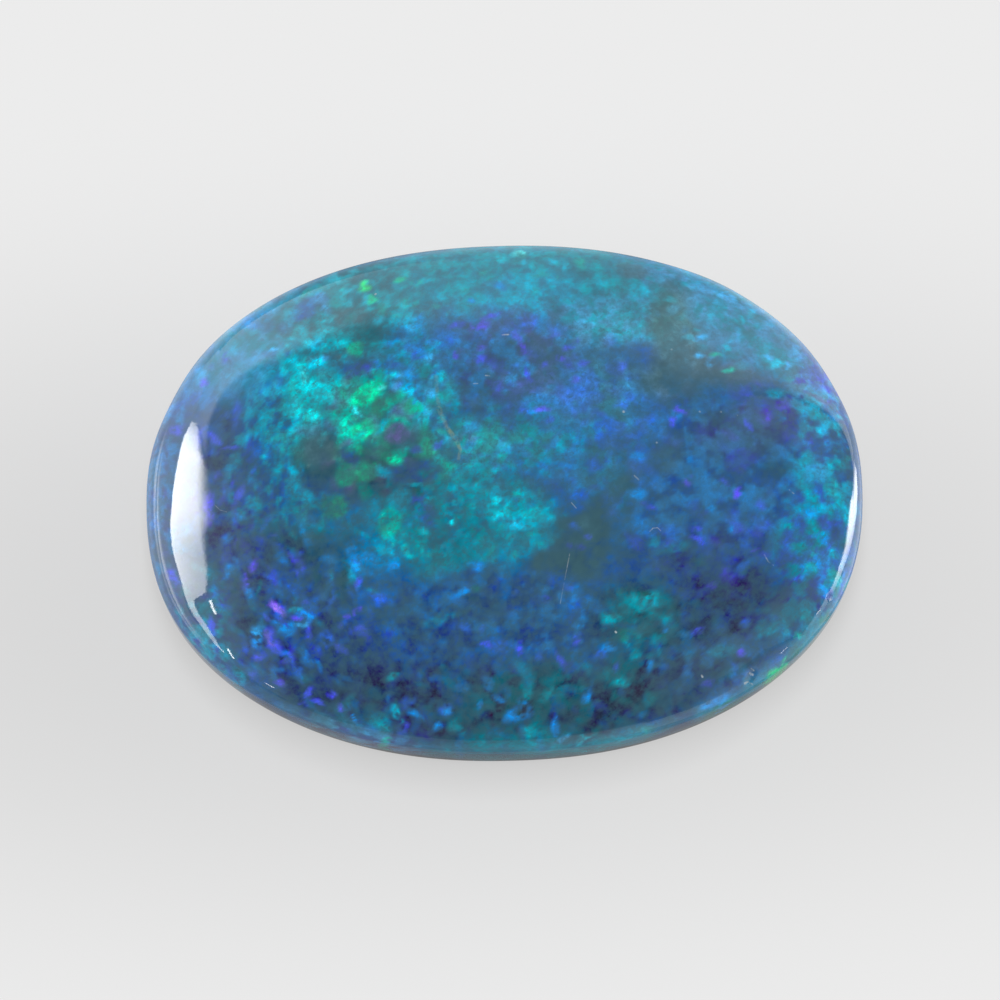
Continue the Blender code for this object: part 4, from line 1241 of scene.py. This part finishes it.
# The room is pale to the eye, and dim where it lights the stone or is mirrored in it
seen_room_light = 0.85
dim_room_light = 0.15
room_colour = (1.0, 1.0, 0.99, 1.0)
world = bpy.data.worlds.new("room")
world.use_nodes = True
room_nodes, room_links = world.node_tree.nodes, world.node_tree.links
light_path = room_nodes.new("ShaderNodeLightPath")
room_gap = seen_room_light - dim_room_light
seen_share = light_path.outputs["Is Camera Ray"]
room_strength = maths(room_nodes, "MULTIPLY_ADD", seen_share, room_gap, dim_room_light)
room_links.new(room_strength, room_nodes["Background"].inputs["Strength"])
room_nodes["Background"].inputs["Color"].default_value = room_colour
bpy.context.scene.world = world


# The cards. White cards, a soft box and narrow slits of light stand round the stone, and only its
# polish sees them. Each is a sheet bent round the stone, lying on the ground below the horizon. Its
# stations run from one end to the other: azimuth from +X, lowest and highest elevation (degrees),
# glow just below it, at its low edge, at its high edge and just above it, softness of its high edge.
card_distance = 0.45
card_gap = 0.01
ground_card_lift = 0.05 * MM
rim_reach = 6.5 * MM
rim_height = 2.3 * MM
edge_blur = 0.5
body_steps = 5
soft_steps = 6
light_cards = {
    "left_spill": (
        (122, 0, 34, 0.5, 0.5, 0.3, 0.15, 6.0),
        (130, 0, 42, 1.0, 1.0, 0.8, 0.15, 8.0),
        (136, 0, 50, 1.2, 1.2, 1.1, 0.15, 8.0),
        (147, 0, 55, 1.3, 1.3, 1.1, 0.15, 9.0),
        (156, 0, 60, 1.3, 1.3, 1.2, 0.15, 9.0),
        (165, 0, 61, 1.3, 1.3, 1.25, 0.15, 9.0),
        (185, 0, 64, 1.3, 1.3, 1.05, 0.15, 8.0),
        (195, 0, 62, 1.3, 1.5, 1.0, 0.15, 8.0),
        (205, 0, 54, 1.3, 1.3, 1.1, 0.15, 8.0),
        (214, 0, 50, 1.2, 1.2, 0.9, 0.15, 9.0),
        (222, 0, 47, 0.9, 0.9, 0.85, 0.15, 7.0),
        (230, 0, 38, 0.8, 0.8, 0.7, 0.15, 6.0),
        (238, 0, 16, 0.6, 0.5, 0.3, 0.15, 5.0),
        (243, 0, 8, 0.3, 0.2, 0.15, 0.15, 4.0),
    ),
    "right_sheet": (
        (-84, -45, 2, 0.6, 0.7, 1, 0.3, 3),
        (-72, -45, 3, 0.7, 0.9, 1.3, 0.4, 3),
        (-60, -45, 4, 0.9, 1.2, 1.7, 0.6, 3),
        (-51, -45, 5, 0.8, 0.9, 1.5, 0.9, 3),
        (-40, -45, 5, 0.9, 1.1, 1.9, 1, 3),
        (-32, -42, 3, 1.2, 1.2, 1.9, 0.9, 3),
        (-26, -40, 1, 1.7, 1.7, 2, 0.6, 3),
        (-14, -42, 0, 2.2, 2.8, 3.1, 0.8, 3),
        (-2, -45, 0, 2.2, 3, 3.4, 0.8, 3),
        (8, -45, 0, 1.6, 2.2, 3.2, 0.8, 3),
        (14, -42, 0, 1.2, 1.4, 2.4, 0.8, 3),
        (24, -36, 0, 1, 1.4, 2.2, 0.6, 3),
    ),
    "right_spill": (
        (-72, 0, 60, 0.45, 0.3, 0.15, 0.15, 9),
        (-60, 0, 60, 0.55, 0.5, 0.35, 0.15, 9),
        (-46, 0, 58, 0.8, 0.8, 0.6, 0.15, 9),
        (-34, 0, 52, 0.8, 0.8, 0.7, 0.15, 9),
        (-22, 0, 48, 0.9, 0.9, 0.7, 0.15, 9),
        (-12, 0, 44, 0.9, 0.9, 0.6, 0.15, 9),
        (-2, 0, 42, 0.8, 0.6, 0.35, 0.15, 9),
        (8, 0, 40, 0.7, 0.6, 0.25, 0.15, 9),
        (18, 0, 44, 0.9, 0.7, 0.4, 0.15, 9),
        (28, 0, 48, 0.9, 0.8, 0.8, 0.15, 8),
        (38, 0, 52, 0.9, 0.9, 1.0, 0.15, 8),
        (46, 0, 56, 0.6, 0.6, 0.7, 0.15, 8),
    ),
    "left_wall": (
        (128, -1, 16, 2.0, 3.1, 3.4, 1.2, 2),
        (134, -1, 25, 2, 2.7, 3.8, 1.2, 2),
        (142, -1, 33, 2.2, 2.3, 3.4, 1.2, 2),
        (150, -1, 34, 2.2, 2.5, 2.4, 1.2, 2),
        (160, -1, 34, 2.2, 3.4, 2.8, 1.2, 2),
        (170, -1, 33, 2.2, 4, 2.4, 1.2, 2),
        (180, -1, 32, 2.2, 3.6, 2.6, 1.2, 2),
        (188, -1, 29, 2.2, 2.8, 2.8, 1.2, 2),
        (193, -1, 25, 2.2, 2.2, 2.7, 1.2, 1.5),
        (197, -1, 21, 2, 2, 2.4, 1.2, 1.5),
        (201, -1, 19, 1.6, 2, 2.2, 1.2, 1.5),
        (206, -1, 20, 1.3, 1.7, 1.8, 1.2, 1.5),
        (212, -1, 21, 1, 1.3, 1.6, 1.2, 1.5),
        (219, -1, 15, 0.7, 1.2, 0.9, 1.2, 3),
        (226, -1, 8, 0.5, 0.6, 0.4, 0.8, 3),
        (236, -1, 4, 0.3, 0.4, 0.2, 0.8, 3),
    ),
    "back_card": (
        (13.5, -14, -3, 2.2, 4.2, 3, 0.2, 2.5),
        (18, -14, -2, 2.2, 4.2, 2.8, 0.2, 2.5),
        (22, -12, 0, 2.2, 3.4, 3.2, 0.2, 2.5),
        (26, -8, 5, 2.3, 3.3, 3, 0.2, 3),
        (32, -4, 16, 2.3, 2.7, 2.9, 0.2, 3.5),
        (40, -3, 34, 2.2, 2.5, 2.4, 0.2, 4),
        (47, -3, 47, 1.9, 2, 1.9, 0.2, 5),
        (60, -3, 54, 1.2, 1.2, 1.5, 0.2, 6),
        (70, -3, 52, 0.6, 0.7, 1.4, 0.2, 6),
        (80, -3, 52, 0.8, 1.1, 0.7, 0.2, 8),
        (95, -3, 48, 0.6, 1.4, 1.4, 0.2, 8),
        (103, -3, 42, 0.9, 1.9, 1.7, 0.2, 6),
        (110, -3, 42, 1.3, 2.4, 2, 0.2, 4),
        (121, -3, 41, 1.5, 2.9, 2.9, 0.2, 3),
        (126, -3, 39, 1.6, 3, 2.8, 0.2, 2),
        (131, 7, 37, 2.2, 3.0, 3.0, 1.1, 2),
        (136, 19, 36.5, 2.1, 2.4, 3.2, 1.1, 1.5),
        (141, 27, 38.5, 2.3, 2.8, 4, 1.1, 1.5),
        (145, 30, 42, 2.4, 4, 3.6, 1.1, 1.5),
        (149, 32, 45, 2.4, 3, 2.2, 1.1, 1.5),
        (153, 34, 47, 2.4, 2, 1, 1.1, 1.5),
    ),
    "left_sill": (
        (150, -8, 3, 2.2, 2.4, 2.7, 2.5, 3),
        (153, -8, 4, 2.2, 2.8, 4.4, 2.6, 3),
        (156, -8, 5, 2.2, 3.4, 7.4, 3, 3),
        (160, -8, 6.5, 2.6, 4.2, 8.6, 3.4, 3),
        (165, -9, 7, 2.6, 4.6, 10.6, 3.4, 3),
        (171, -8, 8.5, 2.4, 4.4, 9.8, 3.4, 3),
        (177, -7, 10, 2.2, 3.8, 8.8, 3.2, 3),
        (184, -6, 11, 2.2, 3.6, 8.4, 2.9, 3),
        (189, -6, 11, 2.3, 3.4, 7.4, 2.9, 3),
        (192, -6, 10, 2.7, 3.4, 7.2, 2.8, 3),
        (195, -6, 9.5, 3.1, 3.4, 6.8, 2.8, 3),
        (199, -6, 8.5, 3, 3.4, 6.4, 2.8, 3),
        (206, -7, 6.5, 2.2, 3.0, 4.6, 2.5, 3),
        (212, -10, 4, 1.4, 1.8, 2.2, 1.7, 3),
    ),
    "soft_box": (
        (143, 28.3, 34, 2.6, 10, 9, 1.2, 1),
        (146, 28, 38.5, 2.4, 22, 18, 1.2, 2),
        (149, 28.5, 41, 2.4, 28, 22, 1.2, 2.5),
        (152, 29.4, 44, 2.5, 30, 26, 1.2, 2.5),
        (155, 30.2, 46, 2.6, 30, 24, 1.2, 3),
        (158, 30.5, 46.8, 2.8, 30, 24, 1.2, 3.5),
        (162, 30.3, 48, 2.8, 30, 24, 1.2, 4),
        (166, 29.4, 49.2, 2.6, 30, 21, 1.2, 3.5),
        (171, 27.3, 48.6, 2.5, 26, 15.5, 1.2, 2),
        (177, 27.6, 49.2, 2.6, 21, 10.6, 1.2, 1.3),
        (183, 29, 48.8, 2.8, 19, 10, 1.2, 1),
        (188, 28.6, 47, 2.7, 16.5, 10, 1.2, 1),
        (191, 27.4, 45.2, 2.6, 14, 10, 1.3, 0.6),
        (192.6, 26.6, 44.2, 2.6, 13, 10, 1.3, 0.4),
        (194.1, 25.6, 37, 2.6, 12, 10, 1.3, 0.4),
        (195.3, 25.2, 33.5, 2.4, 11, 11, 1.3, 0.5),
        (197, 24.4, 31.5, 2.4, 10, 12, 1.3, 0.6),
        (201, 23.2, 30, 2.2, 9, 10.5, 1.3, 0.8),
        (206, 23, 29.6, 1.8, 9.5, 9, 1.3, 0.8),
        (212, 20.4, 26, 1.6, 8, 8, 1.3, 0.8),
        (215, 18.5, 21.5, 1.2, 9, 12, 1.3, 0.4),
        (217.5, 18.5, 19.5, 1, 10, 14, 1.3, 0.3),
    ),
    "right_strip": (
        (-66, -1, 10, 0.8, 0.4, 0.3, 0.15, 8),
        (-60, -1, 26, 1.2, 0.8, 0.5, 0.15, 8),
        (-50, -1, 20, 1.4, 1.4, 1.2, 0.3, 9),
        (-42, -1, 22, 1.6, 1.6, 1.2, 0.3, 9),
        (-34, -1, 8, 1.6, 1.5, 1.3, 0.2, 2),
        (-26, 1, 12.5, 1.7, 2.8, 3.4, 0.2, 2),
        (-20, 2, 13, 2, 3.6, 4.6, 0.2, 1.5),
        (-14, 3, 13.5, 2, 5, 9, 0.2, 1.5),
        (-8, 2, 14, 2.2, 8, 13, 0.2, 2),
        (-5, 0, 13, 2.4, 8, 15, 0.2, 2.5),
        (-2, -5, 12, 2.8, 8, 17, 0.2, 3),
        (2, -13, 12.5, 3, 11, 20, 0.2, 3),
        (6, -19, 11.5, 3.2, 15, 24, 0.2, 3),
        (9, -19, 9, 3.2, 14, 23, 0.2, 2.5),
        (11, -15, 4, 2.6, 6, 10, 0.2, 2),
        (12.5, -14, -1, 2, 3.6, 3, 0.2, 2),
    ),
    "high_left_slit": (
        (196, 43.7, 45.1, 0.3, 25, 25, 0.3, 0.2),
        (202.5, 41.7, 43.1, 0.3, 25, 25, 0.3, 0.2),
    ),
    "low_left_slit": (
        (216.8, 26.8, 28.4, 0.3, 25, 25, 0.3, 0.2),
        (220.4, 20.6, 22.2, 0.3, 25, 25, 0.3, 0.2),
    ),
    "front_left_slit": (
        (230.3, 15.6, 16.8, 0.3, 18, 18, 0.3, 0.2),
        (232.2, 14.8, 16.0, 0.3, 18, 18, 0.3, 0.2),
    ),
    "far_right_slit": (
        (-7.6, 13.4, 14.8, 0.3, 18, 18, 0.3, 0.2),
        (-10.9, 10.6, 12.0, 0.3, 18, 18, 0.3, 0.2),
    ),
    "near_right_slit": (
        (-24.8, 8.2, 9.6, 1.0, 14, 14, 0.3, 0.2),
        (-26.8, 9.8, 11.2, 0.3, 14, 14, 0.3, 0.2),
    ),
    "front_right_slit": (
        (-39.3, 8.8, 10.0, 0.3, 13, 13, 0.3, 0.2),
        (-41.9, 7.8, 9.0, 0.3, 13, 13, 0.3, 0.2),
    ),
}


def card_rows(low, high, below, low_glow, high_glow, above, softness):
    """Elevation and glow of one station of a card, from its low edge to its high edge."""
    bottom = low + edge_blur
    top = max(high - softness, bottom + edge_blur)
    rows = [(low - edge_blur, below)]
    for step in range(body_steps + 1):
        rise = step / body_steps
        rows.append((bottom + (top - bottom) * rise, low_glow + (high_glow - low_glow) * rise))
    for step in range(1, soft_steps + 1):
        fade = step / soft_steps
        rows.append((top + 2.0 * softness * fade, high_glow + (above - high_glow) * step_smoothly(fade)))
    return rows


def card_point(azimuth, elevation, order):
    """On a sphere round the stone, or on the ground where the mirrored ray meets it sooner."""
    outwards = Vector((math.cos(azimuth), math.sin(azimuth), 0.0))
    distance = card_distance - card_gap * order
    if elevation < 0.0:
        ground_reach = rim_reach + rim_height / math.tan(-elevation)
        if ground_reach < distance:
            return ground_reach * outwards + Vector((0.0, 0.0, ground_card_lift * (order + 1)))
    height = max(distance * math.sin(elevation), ground_card_lift * (order + 1))
    return distance * math.cos(elevation) * outwards + Vector((0.0, 0.0, height))


card_material = bpy.data.materials.new("glowing_card")
card_material.use_nodes = True
card_material.cycles.emission_sampling = "NONE"
card_nodes, card_links = card_material.node_tree.nodes, card_material.node_tree.links
card_nodes.remove(card_nodes["Principled BSDF"])
card_glow = card_nodes.new("ShaderNodeAttribute")
card_glow.attribute_name = "glow"
card_emission = card_nodes.new("ShaderNodeEmission")
card_links.new(card_glow.outputs["Fac"], card_emission.inputs["Strength"])
card_links.new(card_emission.outputs["Emission"], card_nodes["Material Output"].inputs["Surface"])

for order, (name, stations) in enumerate(light_cards.items()):
    columns = [(math.radians(station[0]), card_rows(*station[1:])) for station in stations]
    row_count = len(columns[0][1])
    card_shape = bmesh.new()
    bmesh.ops.create_grid(card_shape, x_segments=len(columns) - 1, y_segments=row_count - 1, size=1.0)
    glow_layer = card_shape.verts.layers.float.new("glow")
    for point in card_shape.verts:
        azimuth, rows = columns[round(0.5 * (point.co.x + 1.0) * (len(columns) - 1))]
        elevation, glow = rows[round(0.5 * (point.co.y + 1.0) * (row_count - 1))]
        point[glow_layer] = glow
        point.co = card_point(azimuth, math.radians(elevation), order)
    card_mesh = bpy.data.meshes.new(name)
    card_shape.to_mesh(card_mesh)
    card_shape.free()
    card_mesh.materials.append(card_material)
    card = bpy.data.objects.new(name, card_mesh)
    bpy.context.scene.collection.objects.link(card)
    card.visible_camera = False
    card.visible_diffuse = False
    card.visible_shadow = False
    card.visible_transmission = False


# The camera looks down from the front, a little off the vertical.
photo_pixels = 1000
pixels_per_mm = 51.14
camera_distance = 250.0 * MM
camera_elevation = math.radians(78.0)
camera_turn = math.radians(-1.5)
aim_height = 1.9 * MM
aim_right_pixels = -4.40
aim_up_pixels = -1.00
film_width = 36.0
nearest_seen = 0.01

camera_data = bpy.data.cameras.new("camera")
camera_data.sensor_width = film_width
camera_data.lens = film_width * pixels_per_mm * (camera_distance / MM) / photo_pixels
camera_data.clip_start = nearest_seen
camera = bpy.data.objects.new("camera", camera_data)
bpy.context.scene.collection.objects.link(camera)
backwards = Vector(
    (
        math.sin(camera_turn) * math.cos(camera_elevation),
        -math.cos(camera_turn) * math.cos(camera_elevation),
        math.sin(camera_elevation),
    )
)
rightwards = Vector((math.cos(camera_turn), math.sin(camera_turn), 0.0))
upwards = backwards.cross(rightwards)
aim = Vector((0.0, 0.0, aim_height))
aim += (aim_right_pixels * rightwards + aim_up_pixels * upwards) * MM / pixels_per_mm
camera.location = aim + backwards * camera_distance
point_at(camera, aim)
bpy.context.scene.camera = camera
bpy.context.scene.view_settings.view_transform = "Standard"
